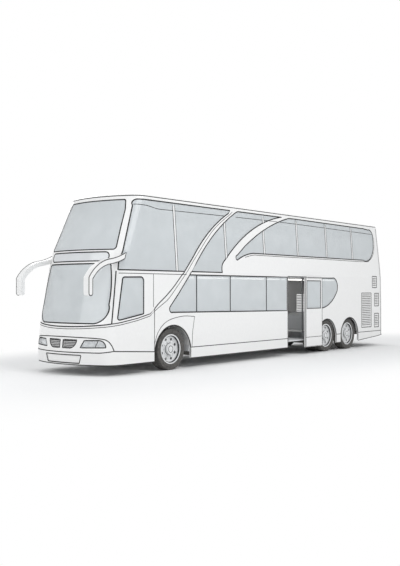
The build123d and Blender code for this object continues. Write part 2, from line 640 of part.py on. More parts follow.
with BuildPart() as dashboard:
    with BuildSketch(Plane.YZ):
        with BuildLine():
            Polyline((-6420, CAB_Z), (-6050, CAB_Z), (-6050, 820), (-5900, 930), (-5930, 1090), (-6080, 1130),
                     (-6420, 1060), close=True)
        make_face()
    extrude(amount=1300, both=True)
    with BuildSketch(Plane.YZ.offset(580 - 35)):
        with BuildLine():
            Polyline((-5960, 1040), (-5790, 1250), (-5790, 1300), (-5830, 1300), (-6000, 1090), close=True)
        make_face()
    extrude(amount=70)
dash = dashboard.part & CAVITY
dash -= block((-1400, -6100, 300), (-900, -5800, 3000))
dash -= (front_prism(HEADLAMP, -10) + front_prism(flipped(HEADLAMP), -10)) & block((-1300, -6500, 0), (1300, -6080, 900))
wheel_plane = Plane(origin=(580, -5790, 1285), z_dir=(0, 0.55, 1))
with BuildPart() as steering_wheel:
    with BuildSketch(wheel_plane):
        Circle(235)
        Circle(205, mode=Mode.SUBTRACT)
        Rectangle(430, 34)
        Circle(50)
    extrude(amount=26)
save(dash + steering_wheel.part, "dashboard")

# ---------------------------------------------------------------- engine and frame below
with BuildPart() as engine:
    with Locations((0, 5900, 720)):
        Box(760, 1150, 660)
    chamfer(engine.edges().filter_by(Axis.Y).group_by(Axis.Z)[0], 150)
    fillet(engine.edges().filter_by(Axis.Y).group_by(Axis.Z)[-1], 60)
save(engine.part, "engine_block")

RAIL_X, RAIL_W = 380, 80
RAIL_PATH = [(-6280, 440), (-3720, 440), (-3720, 280), (2480, 280), (2480, 760), (5150, 760), (5150, 350),
             (6560, 350), (6560, 460), (5270, 460), (5270, 900), (2360, 900), (2360, 400), (-3600, 400),
             (-3600, 560), (-6280, 560)]
CROSS_MEMBERS = ((-6150, 470, 1050), (-5000, 470, 1200), (-3440, 300, 1200), (-2000, 300, 1200), (-500, 300, 1200),
                 (700, 300, 1200), (2050, 300, 1200), (3700, 800, 600), (5200, 800, 1200), (6520, 360, 1150))
TOW_BORE_R = 20
rails = []
for side in (1, -1):
    low, high = sorted((side * RAIL_X, side * (RAIL_X + RAIL_W)))
    rails.append(full_prism(RAIL_PATH) & block((low, -7000, 0), (high, 7000, 2000)))
save(Compound(children=rails), "underframe")
members = []
for y, z, half in CROSS_MEMBERS:
    member = block((-half, y - 40, z), (half, y + 40, z + 80))
    if (y, z, half) in (CROSS_MEMBERS[0], CROSS_MEMBERS[-1]):
        member -= Cylinder(TOW_BORE_R, 200).moved(Location((0, y, z + 40)))
    members.extend((member - rails[0] - rails[1]).solids())
save(Compound(children=members), "cross_members")

# ---------------------------------------------------------------- axles
BOSS_R, PIN_TOP = 50, 150
with BuildPart() as front_axle:
    with BuildSketch(Plane.XZ.offset(-(FRONT_AXLE_Y - 45))):
        with BuildLine():
            Polyline((-KINGPIN_X, 430), (-820, 430), (-640, 290), (640, 290), (820, 430), (KINGPIN_X, 430),
                     (KINGPIN_X, 550), (790, 550), (610, 400), (-610, 400), (-790, 550), (-KINGPIN_X, 550), close=True)
        make_face()
    extrude(amount=-90)
    for side in (1, -1):
        with BuildSketch(Plane.XY.offset(430)):
            with Locations((side * KINGPIN_X, FRONT_AXLE_Y)):
                Circle(BOSS_R)
        extrude(amount=120)
        with BuildSketch(Plane.XY.offset(400)):
            with Locations((side * KINGPIN_X, FRONT_AXLE_Y)):
                Circle(25 + RUNNING)
        extrude(amount=200, mode=Mode.SUBTRACT)
        with Locations((side * 420, FRONT_AXLE_Y, 420)):
            Cylinder(90, 40)
save(front_axle.part, "front_axle")


def knuckle():
    """Left knuckle: two ears round the beam's boss, kingpin, and the spindle for the wheel."""
    with BuildPart() as part:
        for z_low, z_high in ((375, 424), (556, 605)):
            with BuildSketch(Plane.XY.offset(z_low)):
                with Locations((KINGPIN_X, FRONT_AXLE_Y)):
                    Circle(BOSS_R)
                with Locations((KINGPIN_X + 45, FRONT_AXLE_Y)):
                    Rectangle(90, BOSS_R * 2)
            extrude(amount=z_high - z_low)
        with Locations((KINGPIN_X, FRONT_AXLE_Y, 490)):
            Cylinder(25, 230)
        with Locations((KINGPIN_X + 75, FRONT_AXLE_Y, 490)):
            Box(30, 120, 230)
        with Locations(Location((WHEEL_X, FRONT_AXLE_Y, TYRE_R), (0, 90, 0))):
            Cylinder(HUB_BORE, 120)
    return part.part


save(knuckle(), "knuckle_left")
save(other_side(knuckle()), "knuckle_right")


def rear_axle(y, tube_r, bulge_r, spring_r):
    """Turned axle with two spindles, a bulged housing where it is driven, and two air springs."""
    half = [(70, bulge_r), (230, tube_r), (575, tube_r), (575, HUB_BORE), (WHEEL_X + 60, HUB_BORE)]
    with BuildPart() as axle:
        with BuildSketch(Plane.XZ.offset(-y)):
            with BuildLine():
                Polyline(*[(-x, TYRE_R + r) for x, r in reversed(half)], *[(x, TYRE_R + r) for x, r in half],
                         (WHEEL_X + 60, TYRE_R), (-WHEEL_X - 60, TYRE_R), close=True)
            make_face()
        revolve(axis=Axis((0, y, TYRE_R), (1, 0, 0)))
        for side in (1, -1):
            with Locations((side * (RAIL_X + RAIL_W / 2), y, (TYRE_R + 759) / 2)):
                Cylinder(spring_r, 759 - TYRE_R)
    return axle.part


save(rear_axle(DRIVE_AXLE_Y, 85, 210, 105), "drive_axle")
save(rear_axle(TAG_AXLE_Y, 70, 70, 105), "tag_axle")

# ---------------------------------------------------------------- wheels
# half of the tyre's section from bead to tread: distance from its middle plane, radius
BEAD_X = 112
TYRE_SECTION = ((BEAD_X, RIM_R), (BEAD_X, RIM_R + 18), (136, 385), (TYRE_W / 2, 415), (141, 450), (132, 480),
                (114, TYRE_R))


def tyre_part():
    """Tyre about the X axis, centred on the origin."""
    with BuildPart() as part:
        with BuildSketch(Plane.XZ):
            with BuildLine():
                Polyline(*TYRE_SECTION, *[(-x, r) for x, r in reversed(TYRE_SECTION)], close=True)
            make_face()
        revolve(axis=Axis.X)
    return part.part


def rim_part(disc_x, hub_low, hub_high, cap=0.0):
    """Steel rim with a pierced disc and a hub, about the X axis. The outside faces +X."""
    seat = RIM_R - 0.5
    with BuildPart() as part:
        with BuildSketch(Plane.XZ):
            with BuildLine():
                Polyline((BEAD_X + 2, seat), (BEAD_X + 2, seat + 15), (BEAD_X + 14, seat + 15), (BEAD_X + 14, seat - 14),
                         (disc_x + 26, seat - 14), (disc_x, 255), (disc_x, 150), (disc_x + 16, 130),
                         (hub_high, 130), (hub_high, HUB_BORE + RUNNING), (hub_low, HUB_BORE + RUNNING),
                         (hub_low, 130), (disc_x - 16, 150), (disc_x - 16, 262), (disc_x + 6, seat - 14),
                         (-BEAD_X - 14, seat - 14), (-BEAD_X - 14, seat + 15), (-BEAD_X - 2, seat + 15),
                         (-BEAD_X - 2, seat), close=True)
            make_face()
        revolve(axis=Axis.X)
        for hole in range(8):
            angle = math.radians(45 * hole + 22.5)
            with Locations(Location((disc_x, 243 * math.cos(angle), 243 * math.sin(angle)), (0, 90, 0))):
                Cylinder(36, 200, mode=Mode.SUBTRACT)
        if cap:
            with Locations(Location((cap - 12, 0, 0), (0, 90, 0))):
                Cylinder(118, 24)
    return part.part


TYRE = tyre_part()
OUTER_RIM = rim_part(48, -20, 96, 120)
TWIN_HUB = rim_part(-30, -90, 30)


def placed(piece, side, x, y):
    """Puts a wheel piece on one side, its outside outwards."""
    turn = 0 if side > 0 else 180
    return piece.moved(Location((side * x, y, TYRE_R), (0, 0, turn)))


for side, hand in ((1, "left"), (-1, "right")):
    for y, name in ((FRONT_AXLE_Y, "front"), (TAG_AXLE_Y, "tag")):
        save(placed(TYRE, side, WHEEL_X, y), f"{name}_tyre_{hand}")
        save(placed(OUTER_RIM, side, WHEEL_X, y), f"{name}_rim_{hand}")
    twin_x = WHEEL_X - TWIN_STEP
    twin = Compound(children=[placed(TYRE, side, WHEEL_X, DRIVE_AXLE_Y), placed(TYRE, side, twin_x, DRIVE_AXLE_Y)])
    save(twin, f"drive_tyres_{hand}")
    link = Cylinder(130, TWIN_STEP - 40, rotation=(0, 90, 0)) - Cylinder(HUB_BORE + RUNNING, 900, rotation=(0, 90, 0))
    rims = placed(OUTER_RIM, side, WHEEL_X, DRIVE_AXLE_Y) + placed(TWIN_HUB, side, twin_x, DRIVE_AXLE_Y)
    rims += placed(link, side, (WHEEL_X + twin_x) / 2, DRIVE_AXLE_Y)
    save(rims, f"drive_rims_{hand}")

# ---------------------------------------------------------------- mirrors
# one band with a slim arm from the A-pillar and a drooping head: its middle line in Y and Z
MIRROR_X, MIRROR_W, MIRROR_T = 1125, 170, 106
MIRROR_FRONT_Y, MIRROR_LOW = -6800, 1760
head_y = MIRROR_FRONT_Y + MIRROR_T / 2
with BuildPart() as mirror_left:
    with BuildSketch(Plane.YZ.offset(MIRROR_X - MIRROR_W / 2)):
        with BuildLine() as middle_line:
            root = ThreePointArc((-5600, 2700), (-5860, 2580), (-6180, 2498))
            bend = TangentArc((-6180, 2498), (head_y, 2130), tangent=root % 1)
            Line((head_y, 2130), (head_y, MIRROR_LOW + MIRROR_T / 2))
        trace(middle_line.line, line_width=MIRROR_T, mode=Mode.ADD)
        with Locations((head_y, MIRROR_LOW + MIRROR_T / 2)):
            Circle(MIRROR_T / 2)
    extrude(amount=MIRROR_W)
mirror_piece = mirror_left.part - OUTER
save(mirror_piece, "mirror_left")
save(other_side(mirror_piece), "mirror_right")
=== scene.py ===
"""Looks of the double-deck touring coach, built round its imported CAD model.

Metres, +Z up, the nose points to -Y and the left side is +X.
"""
import json
import math

import bmesh
import bpy
from mathutils import Matrix, Vector
from mathutils.bvhtree import BVHTree


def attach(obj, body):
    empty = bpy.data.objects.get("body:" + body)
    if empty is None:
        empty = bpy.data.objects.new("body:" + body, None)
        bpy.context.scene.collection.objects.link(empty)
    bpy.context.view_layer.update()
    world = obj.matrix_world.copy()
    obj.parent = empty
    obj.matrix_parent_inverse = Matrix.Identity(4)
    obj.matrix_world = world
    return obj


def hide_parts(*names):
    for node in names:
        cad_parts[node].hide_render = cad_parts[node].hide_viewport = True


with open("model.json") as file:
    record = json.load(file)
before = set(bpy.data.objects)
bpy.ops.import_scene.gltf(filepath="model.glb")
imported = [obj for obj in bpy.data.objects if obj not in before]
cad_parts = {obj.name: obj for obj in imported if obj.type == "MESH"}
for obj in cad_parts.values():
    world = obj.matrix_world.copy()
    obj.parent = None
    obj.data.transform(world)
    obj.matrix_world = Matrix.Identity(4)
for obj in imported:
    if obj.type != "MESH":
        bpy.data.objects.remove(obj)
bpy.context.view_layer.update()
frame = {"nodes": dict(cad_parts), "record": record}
NODES = frame["nodes"]
COACH = "coach_body"
SIDES = ((1, "left"), (-1, "right"))

# ------------------------ driving sizes
FRONT_AXLE_Y, DRIVE_AXLE_Y, TAG_AXLE_Y = -4.2, 3.03, 4.38
WHEEL_X, TWIN_STEP, TYRE_R, RIM_R = 1.09, 0.315, 0.49, 0.335
# wheel arches: centre y, centre z, radius
ARCHES = ((-4.18, 0.40, 0.65), (3.01, 0.42, 0.57), (4.44, 0.42, 0.58))
# middle doorway: front edge, rear edge, top
DOOR_FRONT, DOOR_REAR, DOOR_TOP = 0.80, 1.79, 2.248
DECK_Z, PODIUM_Z, CAB_Z = 2.275, 0.67, 0.60
# half widths of the drawn lines, from thick to fine
LINE = 0.0140
JOINT = LINE * 0.8
NARROW_JOINT = LINE * 0.7
THIN = 0.0075
# how far lines stand out of the skin
CREASE_H, JOINT_H, GASKET_H = 0.0025, 0.002, 0.0075

# ------------------------ materials
DUST_COLOUR = (0.5, 0.47, 0.42, 1)
DUST_TOP, DUST_FULL = 0.9, 0.15    # heights where dust ends and where it is full
COAT_ROUGH = 0.08
TONE_FROM, TONE_TO = 0.35, 0.65    # noise levels of a material's two tones
BUMP_DEPTH = 0.002


def link(tree, a, b):
    """Joins an output socket to an input socket."""
    tree.links.new(a, b)


def node(tree, kind, **values):
    """Shader node with some of its inputs set."""
    made = tree.nodes.new(kind)
    for name, value in values.items():
        made.inputs[name.replace("_", " ")].default_value = value
    return made


def math_node(tree, operation, one, two):
    """Output of a Math node that joins two sockets."""
    made = tree.nodes.new("ShaderNodeMath")
    made.operation = operation
    link(tree, one, made.inputs[0])
    link(tree, two, made.inputs[1])
    return made.outputs["Value"]


def dusty(tree, coords, noise, colour, dust):
    """Colour with low patches of dust over it."""
    split = tree.nodes.new("ShaderNodeSeparateXYZ")
    link(tree, coords.outputs["Object"], split.inputs["Vector"])
    height = node(tree, "ShaderNodeMapRange", From_Min=DUST_TOP, From_Max=DUST_FULL, To_Max=dust)
    link(tree, split.outputs["Z"], height.inputs["Value"])
    mix = tree.nodes.new("ShaderNodeMix")
    mix.data_type = "RGBA"
    mix.inputs["B"].default_value = DUST_COLOUR
    spots = math_node(tree, "MULTIPLY", height.outputs["Result"], noise.outputs["Fac"])
    link(tree, spots, mix.inputs["Factor"])
    link(tree, colour, mix.inputs["A"])
    return mix.outputs["Result"]


def material(name, low, high, rough=0.4, metallic=0.0, scale=6.0, bump=0.0, bump_scale=60.0, coat=0.0,
             alpha=1.0, dust=0.0, sheen=0.0, spread=0.08):
    """Procedural material: colour wanders between two tones and roughness with it, over a fine bump."""
    mat = bpy.data.materials.new(name)
    mat.use_nodes = True
    tree = mat.node_tree
    shader = tree.nodes["Principled BSDF"]
    for socket, value in (("Metallic", metallic), ("Coat Weight", coat), ("Coat Roughness", COAT_ROUGH),
                          ("Sheen Weight", sheen), ("Alpha", alpha)):
        shader.inputs[socket].default_value = value
    coords = tree.nodes.new("ShaderNodeTexCoord")
    noise = node(tree, "ShaderNodeTexNoise", Scale=scale, Detail=6)
    link(tree, coords.outputs["Object"], noise.inputs["Vector"])
    ramp = tree.nodes.new("ShaderNodeValToRGB")
    for stop, place, colour in zip(ramp.color_ramp.elements, (TONE_FROM, TONE_TO), (low, high)):
        stop.position, stop.color = place, (*colour, 1)
    link(tree, noise.outputs["Fac"], ramp.inputs["Fac"])
    colour = ramp.outputs["Color"]
    if dust:
        colour = dusty(tree, coords, noise, colour, dust)
    link(tree, colour, shader.inputs["Base Color"])
    rough_range = node(tree, "ShaderNodeMapRange", To_Min=max(0.0, rough - spread), To_Max=rough + spread)
    link(tree, noise.outputs["Fac"], rough_range.inputs["Value"])
    link(tree, rough_range.outputs["Result"], shader.inputs["Roughness"])
    if bump:
        fine = node(tree, "ShaderNodeTexNoise", Scale=bump_scale, Detail=4)
        link(tree, coords.outputs["Object"], fine.inputs["Vector"])
        bumper = node(tree, "ShaderNodeBump", Strength=bump, Distance=BUMP_DEPTH)
        link(tree, fine.outputs["Fac"], bumper.inputs["Height"])
        link(tree, bumper.outputs["Normal"], shader.inputs["Normal"])
    return mat


# metal
PAINT = material("white_paint", (0.865, 0.865, 0.86), (0.885, 0.885, 0.88), 0.3, scale=14, bump=0.02,
                 bump_scale=420, coat=0.25, dust=0.12, spread=0.03)
WHEEL_PAINT = material("wheel_paint", (0.74, 0.75, 0.76), (0.82, 0.83, 0.84), 0.35, metallic=0.1, scale=9,
                       bump=0.05, dust=0.15)
DOOR_STEEL = material("door_steel", (0.16, 0.165, 0.17), (0.22, 0.225, 0.23), 0.45, metallic=0.3, scale=10,
                      bump=0.1)
ENGINE = material("cast_iron", (0.12, 0.12, 0.125), (0.2, 0.2, 0.205), 0.7, metallic=0.5, scale=14, bump=0.5)
CHASSIS = material("chassis_paint", (0.05, 0.05, 0.052), (0.1, 0.098, 0.094), 0.55, scale=8, bump=0.2,
                   dust=0.5)
# glass and lamps
GLAZING = material("pale_glass", (0.77, 0.81, 0.83), (0.8, 0.84, 0.86), 0.07, scale=3, alpha=0.62,
                   spread=0.03)
DISPLAY = material("display_glass", (0.74, 0.76, 0.78), (0.78, 0.8, 0.82), 0.08, scale=5, alpha=0.9,
                   spread=0.03)
LENS = material("lamp_lens", (0.84, 0.87, 0.89), (0.9, 0.92, 0.94), 0.06, scale=20, alpha=0.4, bump=0.1,
                bump_scale=90, spread=0.03)
RED_LENS = material("red_lens", (0.42, 0.02, 0.02), (0.55, 0.04, 0.03), 0.15, scale=20, bump=0.2,
                    bump_scale=160)
AMBER = material("amber_lens", (0.75, 0.28, 0.02), (0.85, 0.36, 0.04), 0.15, scale=20, bump=0.2,
                 bump_scale=160)
CHROME = material("lamp_chrome", (0.82, 0.83, 0.84), (0.9, 0.91, 0.92), 0.14, metallic=1.0, scale=12,
                  spread=0.05)
MIRROR_GLASS = material("mirror_glass", (0.7, 0.73, 0.75), (0.76, 0.79, 0.81), 0.04, metallic=1.0, scale=3,
                        spread=0.02)
# cloth, plastics and rubber
FLOOR_COVER = material("floor_cover", (0.62, 0.63, 0.64), (0.7, 0.71, 0.72), 0.75, scale=90, bump=0.25,
                       bump_scale=200)
LINING = material("lining", (0.8, 0.8, 0.79), (0.86, 0.86, 0.85), 0.7, scale=30, bump=0.2, bump_scale=260)
CLOTH = material("seat_cloth", (0.52, 0.56, 0.6), (0.62, 0.66, 0.7), 0.9, scale=60, bump=0.5,
                 bump_scale=420, sheen=0.4)
SEAT_SHELL = material("seat_shell", (0.3, 0.31, 0.32), (0.38, 0.39, 0.4), 0.6, scale=40, bump=0.3,
                      bump_scale=500)
DASH = material("dash_plastic", (0.16, 0.16, 0.165), (0.22, 0.22, 0.225), 0.6, scale=20, bump=0.4,
                bump_scale=500)
GRILLE_WHITE = material("grille_plastic", (0.6, 0.6, 0.6), (0.7, 0.7, 0.7), 0.5, scale=20, bump=0.2,
                        bump_scale=400)
RUBBER = material("tyre_rubber", (0.035, 0.035, 0.036), (0.06, 0.059, 0.058), 0.8, scale=16, bump=0.3,
                  bump_scale=260, dust=0.2)
SEAL = material("seal_rubber", (0.006, 0.006, 0.007), (0.012, 0.012, 0.012), 0.85, scale=30, bump=0.1)
PLATE = material("blank_plate", (0.82, 0.82, 0.8), (0.835, 0.835, 0.815), 0.35, scale=3, bump=0.02,
                 bump_scale=600)
CEILING_LIGHT = material("ceiling_light", (0.9, 0.9, 0.88), (0.95, 0.95, 0.93), 0.5, scale=30, bump=0.05)
glowing = CEILING_LIGHT.node_tree.nodes["Principled BSDF"]
glowing.inputs["Emission Color"].default_value = (1.0, 0.98, 0.95, 1)
glowing.inputs["Emission Strength"].default_value = 2.0

# looks of the CAD nodes, by material slot, with a few nodes apart
SLOT_LOOKS = {
    "body_white": PAINT, "glazing": GLAZING, "display": DISPLAY, "lamp_clear": LENS, "lamp_red": RED_LENS,
    "door_steel": DOOR_STEEL, "floor": FLOOR_COVER, "rack": LINING, "seat_cloth": CLOTH, "dash": DASH,
    "engine": ENGINE, "frame_steel": CHASSIS, "axle_steel": CHASSIS, "tyre": RUBBER,
    "wheel_paint": WHEEL_PAINT}
NODE_LOOKS = {"lamp_housings": CHROME, "grille": GRILLE_WHITE, "stairs": LINING, "floor_boxes": LINING}
for entry in frame["record"]["subparts"]:
    cad = NODES[entry["node"]]
    cad.data.materials.clear()
    cad.data.materials.append(NODE_LOOKS.get(entry["node"], SLOT_LOOKS[entry["material_slot"]]))

# ------------------------ mesh helpers


def add_object(name, data):
    """New object in the scene's collection."""
    made = bpy.data.objects.new(name, data)
    bpy.context.scene.collection.objects.link(made)
    return made


def to_mesh(name, bm, mat):
    """Mesh with one material from a bmesh, which is freed."""
    mesh = bpy.data.meshes.new(name)
    bm.to_mesh(mesh)
    bm.free()
    mesh.materials.append(mat)
    return mesh


def finish_mesh(name, bm, mat, body, smooth=False):
    """Piece made from a bmesh, riding on a body."""
    mesh = to_mesh(name, bm, mat)
    if smooth:
        mesh.polygons.foreach_set("use_smooth", [True] * len(mesh.polygons))
    piece = add_object(name, mesh)
    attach(piece, body)
    return piece


# strip section: across in half widths, up in heights above 0 and in sinks below
SECTION = ((-1.0, -1.0), (-0.95, 0.55), (-0.5, 1.0), (0.5, 1.0), (0.95, 0.55), (1.0, -1.0))
SINK = 0.004


def sweep(bm, path, half_width, height, normals, closed=False):
    """Adds a strip of rounded section that follows a path laid on a surface with the given normals."""
    rings = []
    count = len(path)
    for i, point in enumerate(path):
        before = path[i - 1] if (i or closed) else point
        after = path[(i + 1) % count] if (i + 1 < count or closed) else point
        along = (after - before).normalized()
        normal = normals[i].normalized()
        across = along.cross(normal).normalized()
        ring = []
        for u, v in SECTION:
            rise = (height if v > 0 else -SINK) * abs(v)
            ring.append(bm.verts.new(point + across * (u * half_width) + normal * rise))
        rings.append(ring)
    size = len(SECTION)
    for i in range(count if closed else count - 1):
        a, b = rings[i], rings[(i + 1) % count]
        for k in range(size):
            bm.faces.new((a[k], a[(k + 1) % size], b[(k + 1) % size], b[k]))
    if not closed:
        bm.faces.new(rings[0][::-1])
        bm.faces.new(rings[-1])


def revolve(bm, profile, segments, bend=None):
    """Adds a closed profile of (radius, x) turned about the X axis. bend(step, index) changes the radius."""
    rings = []
    for step in range(segments):
        angle = 2 * math.pi * step / segments
        ring = []
        for index, (radius, x) in enumerate(profile):
            r = radius + (bend(step, index) if bend else 0.0)
            ring.append(bm.verts.new((x, r * math.sin(angle), r * math.cos(angle))))
        rings.append(ring)
    size = len(profile)
    for step in range(segments):
        a, b = rings[step], rings[(step + 1) % segments]
        for k in range(size):
            bm.faces.new((a[k], b[k], b[(k + 1) % size], a[(k + 1) % size]))


def rounded_box(bm, centre, size, radius, steps=2, swell=0.0, pull=0.0, turn=None):
    """Adds a box with rounded edges. swell crowns its faces, pull draws its sides in between the corners."""
    half = [s / 2 for s in size]
    verts = {}
    turn = turn or Matrix.Identity(3)

    def corner(u, v, w):
        key = (round(u, 4), round(v, 4), round(w, 4))
        if key not in verts:
            flat = Vector((u * half[0], v * half[1], w * half[2]))
            core = Vector([max(-h + radius, min(h - radius, c)) for h, c in zip(half, flat)])
            out = flat - core
            place = core + out.normalized() * radius if out.length > 1e-9 else flat
            place.z += w * swell * (1 - u * u) * (1 - v * v)
            place.x -= u * pull * (1 - v * v) * (1 - w * w)
            place.y -= v * pull * (1 - u * u) * (1 - w * w)
            verts[key] = bm.verts.new(Vector(centre) + turn @ place)
        return verts[key]

    # grid lines of each axis, from -1 to 1, closer together over the rounding
    ticks = []
    for h in half:
        flat_end = 1 - radius / h
        row = [1.0, 1 - 0.3 * radius / h, flat_end] + [flat_end * i / steps for i in range(steps)]
        ticks.append(sorted({round(t, 4) + 0.0 for t in row + [-t for t in row]}))
    for axis in range(3):
        one, two = [ticks[k] for k in range(3) if k != axis]
        for sign in (-1, 1):
            flip = (sign > 0) == (axis != 1)
            for i in range(len(one) - 1):
                for j in range(len(two) - 1):
                    quad = []
                    for a, b in ((i, j), (i + 1, j), (i + 1, j + 1), (i, j + 1)):
                        point = [one[a], two[b]]
                        point.insert(axis, sign)
                        quad.append(corner(*point))
                    bm.faces.new(quad if flip else quad[::-1])


# ------------------------ lines on the skin
# outward directions start in the vehicle's middle plane, between these y and up to this height
AXIS_FRONT_Y, AXIS_REAR_Y, AXIS_TOP_Z = -4.6, 5.7, 3.4
# how far the outward direction of an end turns towards the corners and up
END_TURN, END_RISE = 0.3, 0.1


def outward(point):
    """Direction from the middle of the vehicle to a point of its skin."""
    core = Vector((0, min(max(point.y, AXIS_FRONT_Y), AXIS_REAR_Y), min(point.z, AXIS_TOP_Z)))
    return (point - core).normalized()


def sideways(point):
    """Outward direction of a side face, away from the middle plane."""
    return Vector((math.copysign(1, point.x), 0, 0))


def endways(point):
    """Outward direction of the nose or the tail, turning a little towards the corners."""
    return Vector((END_TURN * point.x, math.copysign(1, point.y), END_RISE)).normalized()


WELD = 1e-5          # vertices closer than this are one
MIN_STEP = 0.010     # shortest step of a path that a strip can turn on
# cosines: faces above the first are one surface, a face of the skin looks outwards by at least the
# second, and the face at its edge by no more than the third
SAME_FACE, SKIN_OUT, EDGE_OUT = 0.85, 0.6, 0.5


def skin_edges(bm, keep, facing):
    """Edges where the outer skin ends: the linked vertices of each vertex, and its normal on the skin."""
    links, normals = {}, {}
    for edge in bm.edges:
        if len(edge.link_faces) != 2 or not edge.is_convex:
            continue
        one, two = edge.link_faces
        if one.normal.dot(two.normal) > SAME_FACE:
            continue
        centre = (edge.verts[0].co + edge.verts[1].co) / 2
        out = facing(centre)
        inner, outer = sorted((one, two), key=lambda face: face.normal.dot(out))
        if outer.normal.dot(out) < SKIN_OUT or inner.normal.dot(out) > EDGE_OUT:
            continue
        if keep and not keep(centre):
            continue
        a, b = edge.verts[0].index, edge.verts[1].index
        links.setdefault(a, []).append(b)
        links.setdefault(b, []).append(a)
        for v in (a, b):
            normals[v] = normals.get(v, Vector()) + outer.normal
    return links, normals


def chains(links):
    """Chains of linked vertices, open ones from one of their ends, each with whether it is closed."""
    found = []
    unused = {tuple(sorted((a, b))) for a, ends in links.items() for b in ends}
    while unused:
        ends = [v for v in links if sum(tuple(sorted((v, w))) in unused for w in links[v]) == 1]
        chain = [ends[0] if ends else next(iter(unused))[0]]
        while True:
            here = chain[-1]
            nexts = [w for w in links[here] if tuple(sorted((here, w))) in unused]
            if not nexts:
                break
            unused.discard(tuple(sorted((here, nexts[0]))))
            chain.append(nexts[0])
        closed = len(chain) > 3 and chain[0] == chain[-1]
        if closed:
            chain.pop()
        if len(chain) > 1:
            found.append((chain, closed))
    return found


def skin_outline(cad, keep=None, facing=outward):
    """Paths along the edges of a CAD node's outer skin: (points, normals, closed)."""
    bm = bmesh.new()
    bm.from_mesh(NODES[cad].data)
    bmesh.ops.remove_doubles(bm, verts=bm.verts, dist=WELD)
    bm.normal_update()
    links, normals = skin_edges(bm, keep, facing)
    places = {v.index: v.co.copy() for v in bm.verts}
    bm.free()
    return [even([places[v] for v in chain], [normals[v] for v in chain]) + (closed,)
            for chain, closed in chains(links)]


def even(points, normals):
    """Drops points that lie closer together than a strip can turn."""
    kept, kept_normals = [points[0]], [normals[0]]
    for point, normal in zip(points[1:], normals[1:]):
        if (point - kept[-1]).length > MIN_STEP:
            kept.append(point)
            kept_normals.append(normal)
    return kept, kept_normals


def drawn_in(points, inset):
    """Moves an upright outline in from its edges, along Y and Z."""
    low = [min(p[k] for p in points) for k in (1, 2)]
    high = [max(p[k] for p in points) for k in (1, 2)]
    middle = [(a + b) / 2 for a, b in zip(low, high)]
    shrink = [1 - 2 * inset / max(b - a, 4 * inset) for a, b in zip(low, high)]
    return [Vector((p.x, middle[0] + (p.y - middle[0]) * shrink[0],
                    middle[1] + (p.z - middle[1]) * shrink[1])) for p in points]


def outline_trim(name, cads, half_width, height, body=COACH, keep=None, facing=outward, inset=0.0):
    """Rubber or joint line round the outer skin of CAD nodes."""
    bm = bmesh.new()
    for cad in cads:
        for points, normals, closed in skin_outline(cad, keep, facing):
            if inset:
                points = drawn_in(points, inset)
            if len(points) > 1:
                sweep(bm, points, half_width, height, normals, closed and len(points) > 2)
    finish_mesh(name, bm, SEAL, body)


def surface_of(*names):
    """Surface of CAD nodes that lines can be cast on."""
    verts, faces = [], []
    for name in names:
        mesh = NODES[name].data
        first = len(verts)
        verts += [v.co.copy() for v in mesh.vertices]
        faces += [[first + k for k in polygon.vertices] for polygon in mesh.polygons]
    return BVHTree.FromPolygons(verts, faces)


SKIN = surface_of("side_wall_left", "side_wall_right", "side_glass_left", "side_glass_right", "front_mask",
                  "front_panel", "front_bumper", "rear_panel", "roof_panel", "skirt_left", "skirt_right",
                  "windscreen_upper", "windscreen_lower", "headlamps", "engine_lid", "rear_window")
LAMPS = surface_of("tail_lamps")
LEAF = surface_of("middle_door")


# lines are cast from outside the vehicle, and those on the skin end soon behind it, so that none passes
# through an opening to what lies further in
FROM_SIDE, SIDE_REACH = 3, 2.2
FROM_END, NOSE_REACH, TAIL_REACH = 9, 3.9, 2.9


def cast(surface, start, aim, reach):
    """Place where a line first meets a surface, and its direction there. None and None without one."""
    place, normal, _, _ = surface.ray_cast(Vector(start), Vector(aim), reach)
    return place, normal


def on_side(y, z, side):
    """Place on a side of the body."""
    return cast(SKIN, (side * FROM_SIDE, y, z), (-side, 0, 0), SIDE_REACH)


def on_nose(x, z):
    """Place on the nose."""
    return cast(SKIN, (x, -FROM_END, z), (0, 1, 0), NOSE_REACH)


def on_tail(x, z):
    """Place on the tail."""
    return cast(SKIN, (x, FROM_END, z), (0, -1, 0), TAIL_REACH)


def on_lamp(x, z):
    """Place on a tail lamp."""
    return cast(LAMPS, (x, FROM_END, z), (0, -1, 0), FROM_END)


def on_leaf(y, z):
    """Place on the outside of the middle door's leaf."""
    return cast(LEAF, (FROM_SIDE, y, z), (-1, 0, 0), FROM_SIDE)


PITCH = 0.04    # usual step along a drawn line


def smooth_run(points, pitch=PITCH):
    """Points of a smooth curve through a short table of places."""
    places = [Vector(p) for p in points]
    ends = [places[0] * 2 - places[1]] + places + [places[-1] * 2 - places[-2]]
    run = []
    for i in range(1, len(ends) - 2):
        p0, p1, p2, p3 = ends[i - 1:i + 3]
        steps = max(1, round((p2 - p1).length / pitch))
        for k in range(steps):
            t = k / steps
            run.append(0.5 * (2 * p1 + (p2 - p0) * t + (2 * p0 - 5 * p1 + 4 * p2 - p3) * t * t
                              + (3 * p1 - p0 - 3 * p2 + p3) * t ** 3))
    return run + [places[-1]]


def straight_run(points, pitch=PITCH):
    """Points along straight lines from one place to the next."""
    run = []
    for a, b in zip(points, points[1:]):
        a, b = Vector(a), Vector(b)
        steps = max(1, round((b - a).length / pitch))
        run += [a.lerp(b, k / steps) for k in range(steps)]
    return run + [Vector(points[-1])]


def drawn(bm, run, lay, half_width, height=CREASE_H):
    """Adds a raised line. lay(u, v) gives the skin's place and direction for each place of the run."""
    laid = [lay(*place) for place in run]
    laid = [(place, normal) for place, normal in laid if place is not None]
    points, normals = even([p for p, _ in laid], [n for _, n in laid])
    sweep(bm, points, half_width, height, normals)


